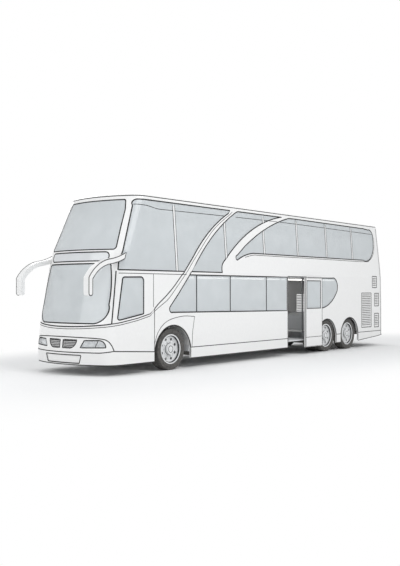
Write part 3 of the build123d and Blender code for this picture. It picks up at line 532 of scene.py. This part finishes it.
def drawn_on_sides(bm, run, half_width, height=CREASE_H):
    """Adds a raised line to both sides of the body, from places in Y and Z."""
    for side, _ in SIDES:
        drawn(bm, run, lambda y, z: on_side(y, z, side), half_width, height)


# curves and straight lines of the body side: half width, points in Y and Z
SIDE_CURVES = (
    (LINE, [(-3.760, 2.320), (-3.900, 2.205), (-4.160, 1.960), (-4.445, 1.735), (-4.688, 1.570),
            (-4.835, 1.450)]),
    (THIN, [(-1.700, 3.920), (-1.780, 3.860), (-2.550, 3.395), (-3.310, 2.690), (-3.670, 2.320),
            (-3.810, 2.180), (-4.070, 1.930), (-4.370, 1.660), (-4.650, 1.500), (-4.835, 1.395)]),
    (THIN, [(-4.835, 0.640), (-4.797, 0.735), (-4.732, 0.879), (-4.556, 1.063), (-4.287, 1.188),
            (-3.825, 1.256), (-3.393, 1.239)]),
    (THIN, [(-3.393, 1.239), (-3.440, 0.990), (-3.466, 0.870), (-3.490, 0.500)]),
    (THIN, [(-5.310, 3.822), (-5.210, 3.822), (-4.956, 3.812), (-4.765, 3.784), (-4.570, 3.762),
            (-4.050, 3.765), (-2.050, 3.785)]),
    (THIN, [(-1.560, 3.790), (0.188, 3.800), (0.400, 3.800)]),
    (THIN, [(0.560, 3.800), (1.390, 3.800), (3.139, 3.790), (4.778, 3.775), (6.220, 3.765)]),
    (THIN, [(-1.250, 2.745), (-0.860, 2.815), (-0.400, 2.818), (2.500, 2.818), (5.470, 2.818),
            (5.900, 2.875), (6.190, 3.060), (6.315, 3.320), (6.335, 3.660)]))
SIDE_RULES = (
    (THIN, [(-5.880, 2.250), (-3.700, 2.250)]), (THIN, [(-4.870, 2.250), (-4.870, 1.490)]),
    (LINE, [(-3.576, 2.250), (-3.511, 2.320)]), (THIN, [(-3.511, 2.250), (-2.265, 2.250)]))
# air grilles of the rear quarter: y from, y to, z from, z to
VENTS = ((5.26, 5.95, 0.65, 1.78), (6.03, 6.35, 1.96, 2.34),
         (6.19, 6.50, 1.34, 1.77), (6.18, 6.50, 0.63, 1.09))
VENT_H = 0.003                     # height of the line round a vent
# line round the middle doorway: distance, half width, lower ends of its front and rear uprights
DOOR_GAP, DOOR_LINE, DOOR_LINE_FEET = 0.015, 0.012, (0.25, 0.56)
# lines of the nose, in X and Z
LAMP_BAND = [(-1.236, 0.560), (-1.204, 0.675), (-1.144, 0.772), (-1.022, 0.817), (-0.647, 0.837),
             (0.0, 0.847), (0.647, 0.837), (1.022, 0.817), (1.144, 0.772), (1.204, 0.675), (1.236, 0.560)]
LAMP_SPLIT, SPLIT_PITCH = [(0.962, 0.792), (0.940, 0.735), (0.889, 0.622)], 0.02
# the front panel's belt lies above the first height, and a second line runs this far under it
BELT_FROM_Z, BELT_DROP = 1.0, 0.05


def body_creases():
    """Creases and drawn lines of the sides and the nose."""
    bm = bmesh.new()
    for half_width, points in SIDE_CURVES:
        drawn_on_sides(bm, smooth_run(points), half_width)
    for half_width, points in SIDE_RULES:
        drawn_on_sides(bm, straight_run(points), half_width)
    for y_low, y_high, z_low, z_high in VENTS:
        corners = [(y_low, z_low), (y_high, z_low), (y_high, z_high), (y_low, z_high), (y_low, z_low)]
        for a, b in zip(corners, corners[1:]):
            drawn_on_sides(bm, straight_run([a, b]), JOINT, VENT_H)
    front, rear, top = DOOR_FRONT - DOOR_GAP, DOOR_REAR + DOOR_GAP, DOOR_TOP + DOOR_GAP
    round_door = [(front, DOOR_LINE_FEET[0]), (front, top), (rear, top), (rear, DOOR_LINE_FEET[1])]
    drawn(bm, straight_run(round_door), lambda y, z: on_side(y, z, 1), DOOR_LINE)
    drawn(bm, smooth_run(LAMP_BAND), on_nose, JOINT)
    for side, _ in SIDES:
        drawn(bm, smooth_run([(side * x, z) for x, z in LAMP_SPLIT], SPLIT_PITCH), on_nose, THIN)
    for points, _, _ in skin_outline("front_panel", lambda c: c.z > BELT_FROM_Z):
        lower = [SKIN.find_nearest(point - Vector((0, 0, BELT_DROP))) for point in points]
        sweep(bm, [hit[0] for hit in lower], THIN, CREASE_H, [hit[1] for hit in lower])
    finish_mesh("body_creases", bm, SEAL, COACH)


body_creases()

# ------------------------ window mullions and rubbers
LEVEL_Z = 2.285                    # the upper side panes lie above this height, the lower ones below
# y of the upright gaps between panes
UPPER_PILLARS = (-4.035, -2.07, -0.29, -0.32, 1.41, 3.08, 4.735)
LOWER_PILLARS = (-3.31, -1.94, -0.29, 1.20)
NEAR_PILLAR, ON_PILLAR = 0.010, 0.006    # distances from a pillar, for rubbers and for edges of panes
PILLAR_EDGE_MIN = 0.05             # height of the shortest pane edge that counts as upright
# half width and height of the white mullions, step across and height of the lines beside them, and half
# width and height of the lower posts
MULLION_HALF, MULLION_H = 0.030, 0.003
MULLION_EDGE_U, MULLION_EDGE_H = 0.036, 0.0055
POST_HALF, POST_H = 0.016, 0.004
MIDDLE_U, BESIDE_U = 0.001, 0.02   # a line on a gap's middle, and how far beside it the pane is met
UPRIGHT_PITCH = 0.1


def pillars_of(z):
    """Pillars of the deck at a height."""
    return UPPER_PILLARS if z > LEVEL_Z else LOWER_PILLARS


def off_pillars(point):
    """True away from the gaps between panes, which have no rubber of their own."""
    return not any(abs(point.y - y) < NEAR_PILLAR for y in pillars_of(point.z))


def pane_gaps(cad):
    """Upright gaps between neighbouring panes of a side: y, lowest z, highest z, whether above."""
    mesh = NODES[cad].data
    spans = {}
    for edge in mesh.edges:
        a, b = (mesh.vertices[v].co for v in edge.vertices)
        upper = min(a.z, b.z) > LEVEL_Z
        for y in pillars_of(min(a.z, b.z)):
            if max(abs(a.y - y), abs(b.y - y)) < ON_PILLAR and abs(a.z - b.z) > PILLAR_EDGE_MIN:
                low, high = spans.get((y, upper), (math.inf, -math.inf))
                spans[y, upper] = (min(low, a.z, b.z), max(high, a.z, b.z))
    return [(y, low, high, upper) for (y, upper), (low, high) in spans.items()]


def on_gap(y, side):
    """Lays places, given as steps across from a gap's middle and heights, level with the pane beside it."""
    def lay(u, z):
        place, normal = on_side(y + math.copysign(max(abs(u), BESIDE_U), u), z, side)
        return (None, None) if place is None else (Vector((place.x, y + u, z)), normal)
    return lay


def upright(bm, lay, u, low, high, half_width, height):
    """Adds an upright line at a step across from a gap's middle."""
    drawn(bm, straight_run([(u, low), (u, high)], UPRIGHT_PITCH), lay, half_width, height)


def side_mullions():
    """White mullions with a dark line on each side over the upper gaps, dark posts over the lower ones."""
    mullions, posts = bmesh.new(), bmesh.new()
    for side, hand in SIDES:
        for y, low, high, upper in pane_gaps(f"side_glass_{hand}"):
            lay = on_gap(y, side)
            if upper:
                upright(mullions, lay, MIDDLE_U, low, high, MULLION_HALF, MULLION_H)
                for u in (-MULLION_EDGE_U, MULLION_EDGE_U):
                    upright(posts, lay, u, low, high, THIN, MULLION_EDGE_H)
            else:
                upright(posts, lay, MIDDLE_U, low, high, POST_HALF, POST_H)
    finish_mesh("window_mullions", mullions, PAINT, COACH)
    finish_mesh("window_posts", posts, SEAL, COACH)


side_mullions()

# name, CAD nodes, half width, body, facing
GASKETS = (
    ("gasket_windscreens", ("windscreen_upper", "windscreen_lower", "rear_window"), 0.015, COACH, endways),
    ("gasket_display", ("destination_window",), 0.014, COACH, endways),
    ("gasket_headlamps", ("headlamps",), 0.012, COACH, endways),
    ("gasket_tail_lamps", ("tail_lamps",), 0.008, COACH, endways),
    ("gasket_middle_door", ("middle_door_glass",), 0.008, "middle_door_leaf", sideways),
    ("gasket_front_door", ("front_door_glass",), 0.010, "front_door_leaf", sideways))
SIDE_GASKET_HALF = 0.015
for name, cads, half_width, body, facing in GASKETS:
    outline_trim(name, cads, half_width, GASKET_H, body, facing=facing)
outline_trim("gasket_sides", ("side_glass_left", "side_glass_right"), SIDE_GASKET_HALF, GASKET_H,
             keep=off_pillars, facing=sideways)

# ------------------------ panel joints
# limits of the seams, in |x| and z: of the mask, of the lamps' openings and of the tail's inside
MASK_SIDE_X, MASK_SIDE_TOP, MASK_FOOT_TOP = 1.095, 2.34, 1.13
LAMP_OPENING_X, LAMP_OPENING_Z = (0.5, 1.13), (0.59, 0.8)
TAIL_EDGE_X, TAIL_INSIDE_Z, TAIL_TOP = 1.14, (0.6, 3.9), 3.96
ARCH_NEAR, ARCH_LIP_H = 0.02, 0.006    # distance from an arch's curve, height of its lip
# drip rail along the edge of the roof: height on the body, half width, how far it stands out
RAIL_Z, RAIL_HALF, RAIL_H = 4.03, 0.013, 0.004
RAIL_FRONT_Y, RAIL_REAR_Y, RAIL_STEP, RAIL_STEPS = -4.2, 5.2, 0.2, 48
# round the ends it is laid from two upright axes: their y, and the ranges of degrees
NOSE_AXIS_Y, NOSE_FAN = -4.6, (-78, 79, 3)
TAIL_AXIS_Y, TAIL_FAN = 6.0, (-66, 67, 4)
FAN_REACH = 4
# lines inside the edges of the doors: height, then half width and inset of each
DOOR_EDGE_H, MIDDLE_EDGE, FRONT_EDGE = 0.003, (0.010, 0.011), (0.008, 0.009)
MIRROR_SEAM_HALF = 0.009


def beside_mask(point):
    """True on the mask's seams with the side walls up to the upper screen, and at its foot."""
    return (abs(point.x) > MASK_SIDE_X and point.z < MASK_SIDE_TOP) or point.z < MASK_FOOT_TOP


def off_lamps(point):
    """True on the front panel and the bumper away from the lamps' openings."""
    (x_low, x_high), (z_low, z_high) = LAMP_OPENING_X, LAMP_OPENING_Z
    return not (x_low < abs(point.x) < x_high and z_low < point.z < z_high)


def round_tail(point):
    """True on the outer edge of the rear panel below the roof, away from its openings."""
    inside = abs(point.x) < TAIL_EDGE_X and TAIL_INSIDE_Z[0] < point.z < TAIL_INSIDE_Z[1]
    return point.z < TAIL_TOP and not inside


def near_arch(point):
    """True on the edge of a wheel arch."""
    return any(abs(math.hypot(point.y - y, max(0.0, point.z - z)) - radius) < ARCH_NEAR
               for y, z, radius in ARCHES)


def round_end(y, angle, towards):
    """Place of the roof's edge seen from an axis near the nose (-1) or the tail (1)."""
    ray = Vector((math.sin(angle) * towards, math.cos(angle) * towards, 0))
    return cast(SKIN, Vector((0, y, RAIL_Z)) + ray * FAN_REACH, -ray, FAN_REACH)


def drip_rail():
    """Rail all round the roof's edge."""
    nose_fan = [round_end(NOSE_AXIS_Y, math.radians(a), -1) for a in range(*NOSE_FAN)]
    tail_fan = [round_end(TAIL_AXIS_Y, math.radians(a), 1) for a in range(*TAIL_FAN)]
    left = [on_side(RAIL_FRONT_Y + RAIL_STEP * k, RAIL_Z, 1) for k in range(RAIL_STEPS)]
    right = [on_side(RAIL_REAR_Y - RAIL_STEP * k, RAIL_Z, -1) for k in range(RAIL_STEPS)]
    rail = nose_fan[::-1] + left + tail_fan[::-1] + right
    bm = bmesh.new()
    sweep(bm, [place for place, _ in rail], RAIL_HALF, RAIL_H, [normal for _, normal in rail], True)
    finish_mesh("drip_rail", bm, SEAL, COACH)


outline_trim("joint_mask", ("front_mask",), LINE, JOINT_H, keep=beside_mask)
outline_trim("joint_front", ("front_panel", "front_bumper"), JOINT, JOINT_H, keep=off_lamps)
outline_trim("joint_tail", ("rear_panel",), JOINT, JOINT_H, keep=round_tail)
drip_rail()
outline_trim("joint_skirts", ("skirt_left", "skirt_right"), NARROW_JOINT, JOINT_H)
outline_trim("arch_lips", ("side_wall_left", "side_wall_right"), LINE, ARCH_LIP_H, keep=near_arch)
outline_trim("joint_lid", ("engine_lid",), NARROW_JOINT, JOINT_H, "engine_lid", facing=endways)
for door, (half_width, inset) in (("middle_door", MIDDLE_EDGE), ("front_door", FRONT_EDGE)):
    outline_trim(f"edge_{door}", (door,), half_width, DOOR_EDGE_H, f"{door}_leaf",
                 facing=sideways, inset=inset)
for side, hand in SIDES:
    outline_trim(f"mirror_seam_{hand}", (f"mirror_{hand}",), MIRROR_SEAM_HALF, JOINT_H, facing=sideways)

# ------------------------ mirror glass, lamps, plates
MIRROR_X, MIRROR_W = 1.125, 0.170
MIRROR_BACK_Y, MIRROR_Z = -6.694, (1.80, 2.10)
# the glass: how much narrower than the mirror, thickness, how far outside the mirror's back, rounding
GLASS_RIM, GLASS_THICK, GLASS_OUT, GLASS_ROUND = 0.03, 0.008, 0.002, 0.0035
# reflectors of the headlamps: x, z, radius
REFLECTORS = ((0.66, 0.70, 0.052), (0.80, 0.70, 0.052), (1.01, 0.69, 0.036))
REFLECTOR_BEHIND, REFLECTOR_SEGMENTS = 0.026, 32
BOARD_ROUND = 0.0025
# boards on the middle of the tail: name, half width, z span, thickness, lift, material, slot, body
TAIL_BOARDS = (
    ("rear_plate_holder", 0.28, (0.455, 0.595), 0.012, 0.002, DOOR_STEEL, "dash", COACH),
    ("rear_plate", 0.26, (0.47, 0.58), 0.006, 0.0145, PLATE, "body_white", COACH),
    ("lid_handle", 0.12, (0.74, 0.79), 0.012, 0.002, DOOR_STEEL, "dash", "engine_lid"))
# boards on both sides of the tail: name, x span, z span, lay, thickness, lift, material
SIDE_BOARDS = (
    ("rear_reflector", (0.95, 1.11), (0.52, 0.57), on_tail, 0.008, 0.002, RED_LENS),
    ("rear_indicator", (1.012, 1.098), (1.28, 1.44), on_lamp, 0.007, 0.0, AMBER))
# creases of the open leaf, in Y and Z: one above its sill and one near its front edge, with their pitches
LEAF_CREASES = (([(1.575, 0.5), (2.515, 0.5)], 0.04), ([(1.605, 0.24), (1.605, 2.225)], 0.1))
# ceiling lights of the lower deck: y spans, width, thickness, how far under DECK_Z they lie, rounding
LIGHT_SPANS = ((-3.3, -0.1), (0.1, 2.2), (2.5, 5.6))
LIGHT_W, LIGHT_THICK, LIGHT_UNDER, LIGHT_ROUND = 0.16, 0.03, 0.07, 0.012


def mirror_glass(side, hand):
    """Glass on the back of a mirror."""
    bm = bmesh.new()
    rounded_box(bm, (side * MIRROR_X, MIRROR_BACK_Y + GLASS_OUT, sum(MIRROR_Z) / 2),
                (MIRROR_W - GLASS_RIM, GLASS_THICK, MIRROR_Z[1] - MIRROR_Z[0]), GLASS_ROUND, 3)
    finish_mesh(f"mirror_glass_{hand}", bm, MIRROR_GLASS, COACH, True)


def bowl(radius):
    """Closed section of a lamp's reflector: radius, x."""
    return [(radius, 0.0), (radius * 0.96, -0.004), (radius * 0.7, -0.022), (radius * 0.35, -0.034),
            (0.001, -0.037), (0.001, -0.041), (radius * 0.4, -0.038), (radius * 0.76, -0.026),
            (radius + 0.004, -0.006), (radius + 0.004, 0.0)]


def lamp_reflectors():
    """Reflectors behind the headlamps' glass."""
    bm = bmesh.new()
    for side, _ in SIDES:
        for x, z, radius in REFLECTORS:
            place, _ = on_nose(side * x, z)
            start = len(bm.verts)
            revolve(bm, bowl(radius), REFLECTOR_SEGMENTS)
            bm.verts.ensure_lookup_table()
            turn = Matrix.Rotation(-math.pi / 2, 4, "Z")
            turn = Matrix.Translation((side * x, place.y + REFLECTOR_BEHIND, z)) @ turn
            for v in bm.verts[start:]:
                v.co = turn @ v.co
    bmesh.ops.recalc_face_normals(bm, faces=bm.faces)
    finish_mesh("lamp_reflectors", bm, CHROME, COACH, True)


def board(name, x_span, z_span, lay, thickness, lift, mat, body=COACH):
    """Flat board on the skin at the tail."""
    place, normal = lay(sum(x_span) / 2, sum(z_span) / 2)
    bm = bmesh.new()
    size = (x_span[1] - x_span[0], thickness, z_span[1] - z_span[0])
    rounded_box(bm, place + normal * (lift + thickness / 2), size, BOARD_ROUND, 2)
    finish_mesh(name, bm, mat, body, True)


def leaf_creases():
    """Creases of the open door's leaf."""
    bm = bmesh.new()
    for points, pitch in LEAF_CREASES:
        drawn(bm, straight_run(points, pitch), on_leaf, THIN)
    finish_mesh("leaf_creases", bm, SEAL, "middle_door_leaf")


def cabin_lights():
    """Lights under the upper floor."""
    bm = bmesh.new()
    for y_low, y_high in LIGHT_SPANS:
        rounded_box(bm, (0, (y_low + y_high) / 2, DECK_Z - LIGHT_UNDER),
                    (LIGHT_W, y_high - y_low, LIGHT_THICK), LIGHT_ROUND, 1)
    finish_mesh("cabin_lights", bm, CEILING_LIGHT, COACH, True)


for side, hand in SIDES:
    mirror_glass(side, hand)
lamp_reflectors()
for name, half, z_span, thickness, lift, mat, slot, body in TAIL_BOARDS:
    board(name, (-half, half), z_span, on_tail, thickness, lift, mat, body)
for side, hand in SIDES:
    for name, x_span, z_span, lay, thickness, lift, mat in SIDE_BOARDS:
        spread = sorted(side * x for x in x_span)
        board(f"{name}_{hand}", spread, z_span, lay, thickness, lift, mat)
leaf_creases()
cabin_lights()

# ------------------------ seats
# parts of a seat: y and z of the middle from the floor at its front edge, depth, height, radius, swell,
# pull, whether it leans back
CUSHION = (0.225, 0.405, 0.43, 0.09, 0.036, 0.014, 0.012, False)
BACK = (0.515, 0.66, 0.085, 0.46, 0.034, 0.006, 0.010, True)
HEADREST = (0.615, 0.925, 0.085, 0.12, 0.034, 0.004, 0.006, True)
BACK_LEAN = math.radians(12.5)
SEAT_GAP, HEADREST_SHARE = 0.03, 0.62    # what a cushion is narrower than its seat, and the headrest's share
SEAT_MIN_W = 0.35                        # a bench has two seats if both are wider than this
# under the cushions: y and z of the middle, size, radius
PAN_Y, PAN_Z, PAN_SIZE, PAN_ROUND = 0.24, 0.35, (0.36, 0.025), 0.01
PAN_GAP = 0.02                           # what the pan is narrower than the bench
FOOT_Z, FOOT_SIZE, FOOT_ROUND = 0.17, (0.30, 0.30, 0.335), 0.02
# deck, y of the first row, number of rows, the benches' inner and outer x, floor
DECKS = (("upper", -4.55, 12, 0.25, 1.11, DECK_Z), ("lower", -3.35, 4, 0.43, 1.19, PODIUM_Z))
SEAT_PITCH, SEAT_LENGTH = 0.85, 0.7
STAIR_ZONE = (0.60, 2.115)    # the right upper benches leave this span of y free for the stairs
DRIVER_SEAT = (0.33, 0.83, -5.62)        # x from, x to, y


def seat_part(bm, width, x, y, z, part):
    """Adds one crowned part of a seat."""
    part_y, part_z, depth, height, radius, swell, pull, leans = part
    lean = Matrix.Rotation(-BACK_LEAN, 3, "X") if leans else None
    rounded_box(bm, (x, y + part_y, z + part_z), (width, depth, height), radius, 3, swell, pull, lean)


def bench(cushions, shells, x_low, x_high, y, z):
    """Adds a bench that faces the nose: two seats, or one if it is narrow, and the shell they rest on."""
    seats = 2 if (x_high - x_low) / 2 > SEAT_MIN_W else 1
    width = (x_high - x_low) / seats
    for k in range(seats):
        x = x_low + width * (k + 0.5)
        seat_part(cushions, width - SEAT_GAP, x, y, z, CUSHION)
        seat_part(cushions, width - SEAT_GAP, x, y, z, BACK)
        seat_part(cushions, width * HEADREST_SHARE, x, y, z, HEADREST)
    middle = (x_low + x_high) / 2
    rounded_box(shells, (middle, y + PAN_Y, z + PAN_Z), (x_high - x_low - PAN_GAP, *PAN_SIZE), PAN_ROUND, 1)
    rounded_box(shells, (middle, y + PAN_Y, z + FOOT_Z), FOOT_SIZE, FOOT_ROUND, 1)


for deck, first, count, low, high, z in DECKS:
    cushions, shells = bmesh.new(), bmesh.new()
    for i in range(count):
        y = first + SEAT_PITCH * i
        bench(cushions, shells, low, high, y, z)
        if deck == "lower" or y + SEAT_LENGTH < STAIR_ZONE[0] or y > STAIR_ZONE[1]:
            bench(cushions, shells, -high, -low, y, z)
    if deck == "lower":
        bench(cushions, shells, *DRIVER_SEAT, CAB_Z)
    seats = finish_mesh(f"{deck}_seat_cushions", cushions, CLOTH, COACH, True)
    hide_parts(f"{deck}_seats")
    finish_mesh(f"{deck}_seat_shells", shells, SEAT_SHELL, COACH, True)

# ------------------------ tyres and wheels
TREAD_GROOVES = (-0.078, -0.028, 0.028, 0.078)
GROOVE_HALF, GROOVE_SLOPE, GROOVE_DEPTH = 0.005, 0.001, 0.012
# grooves across the shoulders: depth, every how many steps, and the part of the section that they cut
SHOULDER_DEPTH, SHOULDER_EVERY, SHOULDER_FROM_R, SHOULDER_FROM_X = 0.007, 3, 0.484, 0.085
TYRE_SEGMENTS, RING_SEGMENTS = 150, 64
SMOOTH_UP_TO_R = 0.48         # the side of a tyre is shaded smooth, its tread is not
NUT_COUNT, NUT_CIRCLE, NUT_TAPER = 10, 0.1675, 0.88
# washer, nut and stud end: radius, x from, x to, sides
NUT_PARTS = ((0.023, 0.044, 0.05, 12), (0.017, 0.049, 0.072, 6), (0.010, 0.071, 0.084, 12))
# closed sections about the axle: radius, x
HUB_RINGS = ([(0.0005, 0.124), (0.034, 0.122), (0.040, 0.116), (0.052, 0.116), (0.058, 0.121), (0.074, 0.121),
              (0.082, 0.114), (0.112, 0.112), (0.122, 0.104), (0.124, 0.088), (0.0005, 0.088)],)
# black rings of painted shade: in the gap where the disc meets the rim, and round the hub and its cap
SHADE_RINGS = ([(0.300, 0.100), (0.304, 0.108), (0.326, 0.114), (0.338, 0.112), (0.338, 0.098),
               (0.300, 0.094)],
              [(0.122, 0.070), (0.126, 0.074), (0.134, 0.074), (0.138, 0.066), (0.122, 0.060)],
              [(0.070, 0.1205), (0.072, 0.1235), (0.082, 0.1235), (0.084, 0.1185), (0.070, 0.116)])


def tyre_profile():
    """Closed tyre section from one bead over the tread to the other."""
    side = [(RIM_R + 0.001, 0.110), (RIM_R + 0.018, 0.114), (0.368, 0.128), (0.380, 0.136),
            (0.386, 0.1375), (0.405, 0.1435), (0.409, 0.1455), (0.417, 0.1455), (0.421, 0.1438),
            (0.445, 0.1415), (0.466, 0.1375), (0.478, 0.1335), (0.486, 0.126), (0.4895, 0.114)]
    profile = [(r, -x) for r, x in side]
    for x in TREAD_GROOVES:
        profile += [(TYRE_R, x - GROOVE_HALF - GROOVE_SLOPE), (TYRE_R - GROOVE_DEPTH, x - GROOVE_HALF),
                    (TYRE_R - GROOVE_DEPTH, x + GROOVE_HALF), (TYRE_R, x + GROOVE_HALF + GROOVE_SLOPE)]
    return profile + side[::-1]


PROFILE = tyre_profile()


def shoulder_cut(step, index):
    """Change of radius that cuts grooves across the shoulders."""
    radius, x = PROFILE[index]
    cut = step % SHOULDER_EVERY == 0 and radius > SHOULDER_FROM_R and abs(x) > SHOULDER_FROM_X
    return -SHOULDER_DEPTH if cut else 0.0


def tyre_mesh():
    """Treaded tyre about the X axis."""
    bm = bmesh.new()
    revolve(bm, PROFILE, TYRE_SEGMENTS, shoulder_cut)
    mesh = to_mesh("tyre", bm, RUBBER)
    for polygon in mesh.polygons:
        polygon.use_smooth = math.hypot(polygon.center.y, polygon.center.z) < SMOOTH_UP_TO_R
    return mesh


def prism(bm, centre, radius, x_low, x_high, sides):
    """Adds a prism along X, about a centre in Y and Z, that tapers a little outwards."""
    y, z = centre
    ends = []
    for x, size in ((x_low, radius), (x_high, radius * NUT_TAPER)):
        ends.append([bm.verts.new((x, y + size * math.sin(2 * math.pi * k / sides),
                                   z + size * math.cos(2 * math.pi * k / sides))) for k in range(sides)])
    for k in range(sides):
        bm.faces.new((ends[0][k], ends[0][(k + 1) % sides], ends[1][(k + 1) % sides], ends[1][k]))
    bm.faces.new(ends[1])
    bm.faces.new(ends[0][::-1])


def ring_mesh(mat, rings, nuts=0):
    """Turned rings about the X axis and a circle of nuts, outside towards +X."""
    bm = bmesh.new()
    for profile in rings:
        revolve(bm, profile, RING_SEGMENTS)
    for nut in range(nuts):
        angle = 2 * math.pi * (nut + 0.5) / nuts
        centre = Vector((NUT_CIRCLE * math.sin(angle), NUT_CIRCLE * math.cos(angle)))
        for part in NUT_PARTS:
            prism(bm, centre, *part)
    bmesh.ops.recalc_face_normals(bm, faces=bm.faces)
    return to_mesh("hub", bm, mat)


# y of an axle, name in the pieces, name in the bodies
AXLES = ((FRONT_AXLE_Y, "front", "front_wheel"), (TAG_AXLE_Y, "tag", "tag_wheel"),
         (DRIVE_AXLE_Y, "drive", "drive_wheels"))
TYRE_MESH = tyre_mesh()
# the second mesh is the black rings of painted shade
HUB_MESH, SHADE_RING_MESH = ring_mesh(WHEEL_PAINT, HUB_RINGS, NUT_COUNT), ring_mesh(SEAL, SHADE_RINGS)


def place_wheel_piece(name, mesh, side, x, y, body):
    """Shared wheel mesh placed on one side of an axle, its outside away from the vehicle."""
    piece = add_object(name, mesh)
    turn = Matrix.Identity(4) if side > 0 else Matrix.Rotation(math.pi, 4, "Z")
    piece.matrix_world = Matrix.Translation((side * x, y, TYRE_R)) @ turn
    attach(piece, body)
    return piece


for side, hand in SIDES:
    for y, axle, wheel in AXLES:
        body = f"{wheel}_{hand}"
        tyre = place_wheel_piece(f"{axle}_tread_{hand}", TYRE_MESH, side, WHEEL_X, y, body)
        if axle == "drive":
            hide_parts(f"drive_tyres_{hand}")
            inner_x = WHEEL_X - TWIN_STEP
            place_wheel_piece(f"drive_inner_tread_{hand}", TYRE_MESH, side, inner_x, y, body)
        else:
            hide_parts(f"{axle}_tyre_{hand}")
        place_wheel_piece(f"{axle}_hub_{hand}", HUB_MESH, side, WHEEL_X, y, body)
        # black rings of painted shade in the wheel's gaps
        place_wheel_piece(f"{axle}_shade_ring_{hand}", SHADE_RING_MESH, side, WHEEL_X, y, body)

# ------------------------ stage, light, camera
FLOOR_HALF = 60
# the floor turns plain white away from the vehicle: half axes of an ellipse, shares of it to fade between
FADE_X, FADE_Y, FADE_FROM, FADE_TO = 4.5, 10.5, 0.8, 1.5
WORLD_COLOUR, WORLD_STRENGTH = (0.97, 0.985, 1.0, 1), 0.62
# name, place, target, size, watts
AREA_LIGHTS = (("key", (14, -4, 14), (0, 0, 1.5), (10, 10), 1250),
               ("front", (-2, -20, 9), (0, -4, 2), (9, 7), 560),
               ("fill", (-14, 6, 10), (0, 0, 1.5), (10, 10), 700))
CAMERA_PLACE, CAMERA_TILT, CAMERA_TURN = (13.337, -18.079, 1.88), 90.513, 39.0
CAMERA_SENSOR, CAMERA_LENS, CAMERA_FAR = 36, 49.74, 300


def white_for(tree, dim_shader, white_shader, out, mask=None):
    """Shows a white shader to camera, glossy and transmission rays, and another one to the rest."""
    rays = tree.nodes.new("ShaderNodeLightPath")
    seen = math_node(tree, "MAXIMUM", rays.outputs["Is Camera Ray"], rays.outputs["Is Glossy Ray"])
    seen = math_node(tree, "MAXIMUM", seen, rays.outputs["Is Transmission Ray"])
    if mask is not None:
        seen = math_node(tree, "MULTIPLY", seen, mask)
    mixer = tree.nodes.new("ShaderNodeMixShader")
    link(tree, seen, mixer.inputs["Fac"])
    link(tree, dim_shader, mixer.inputs[1])
    link(tree, white_shader, mixer.inputs[2])
    link(tree, mixer.outputs["Shader"], out.inputs["Surface"])


def floor_material():
    """Matt white that takes shadows near the vehicle and turns plain white away from it."""
    mat = bpy.data.materials.new("studio_floor")
    mat.use_nodes = True
    tree = mat.node_tree
    shader = tree.nodes["Principled BSDF"]
    for socket, value in (("Base Color", (0.95, 0.95, 0.95, 1)), ("Roughness", 0.9),
                          ("Specular IOR Level", 0.1)):
        shader.inputs[socket].default_value = value
    coords = tree.nodes.new("ShaderNodeTexCoord")
    mapping = node(tree, "ShaderNodeMapping", Scale=(1 / FADE_X, 1 / FADE_Y, 1))
    link(tree, coords.outputs["Object"], mapping.inputs["Vector"])
    reach = tree.nodes.new("ShaderNodeVectorMath")
    reach.operation = "LENGTH"
    link(tree, mapping.outputs["Vector"], reach.inputs[0])
    fade = node(tree, "ShaderNodeMapRange", From_Min=FADE_FROM, From_Max=FADE_TO)
    fade.interpolation_type = "SMOOTHSTEP"
    link(tree, reach.outputs["Value"], fade.inputs["Value"])
    glow = node(tree, "ShaderNodeEmission", Strength=1.0)
    white_for(tree, shader.outputs["BSDF"], glow.outputs["Emission"], tree.nodes["Material Output"],
              fade.outputs["Result"])
    return mat


def studio_floor():
    """Large floor under the wheels."""
    bm = bmesh.new()
    corners = ((-1, -1), (1, -1), (1, 1), (-1, 1))
    bm.faces.new([bm.verts.new((x * FLOOR_HALF, y * FLOOR_HALF, 0.0)) for x, y in corners])
    floor = add_object("studio_floor", to_mesh("studio_floor", bm, floor_material()))


def studio_world():
    """White background that lights the scene less brightly than it looks."""
    world = bpy.data.worlds.new("studio")
    bpy.context.scene.world = world
    world.use_nodes = True
    tree = world.node_tree
    tree.nodes.clear()
    dim = node(tree, "ShaderNodeBackground", Color=WORLD_COLOUR, Strength=WORLD_STRENGTH)
    white = node(tree, "ShaderNodeBackground", Color=(1, 1, 1, 1), Strength=1.0)
    out = tree.nodes.new("ShaderNodeOutputWorld")
    white_for(tree, dim.outputs["Background"], white.outputs["Background"], out)


def area_light(name, place, target, size, watts):
    """Rectangular light that looks at a target."""
    light = bpy.data.lights.new(name, "AREA")
    light.shape = "RECTANGLE"
    light.size, light.size_y = size
    light.energy = watts
    made = add_object(name, light)
    made.location = place
    made.rotation_euler = (Vector(target) - Vector(place)).to_track_quat("-Z", "Y").to_euler()


def photo_camera():
    """Camera fitted to the drawing."""
    data = bpy.data.cameras.new("camera")
    data.sensor_fit = "AUTO"
    data.sensor_width = CAMERA_SENSOR
    data.lens = CAMERA_LENS
    data.clip_end = CAMERA_FAR
    camera = add_object("camera", data)
    camera.location = CAMERA_PLACE
    camera.rotation_euler = (math.radians(CAMERA_TILT), 0, math.radians(CAMERA_TURN))
    bpy.context.scene.camera = camera


studio_floor()
studio_world()
for light in AREA_LIGHTS:
    area_light(*light)
photo_camera()
bpy.context.scene.view_settings.view_transform = "Standard"
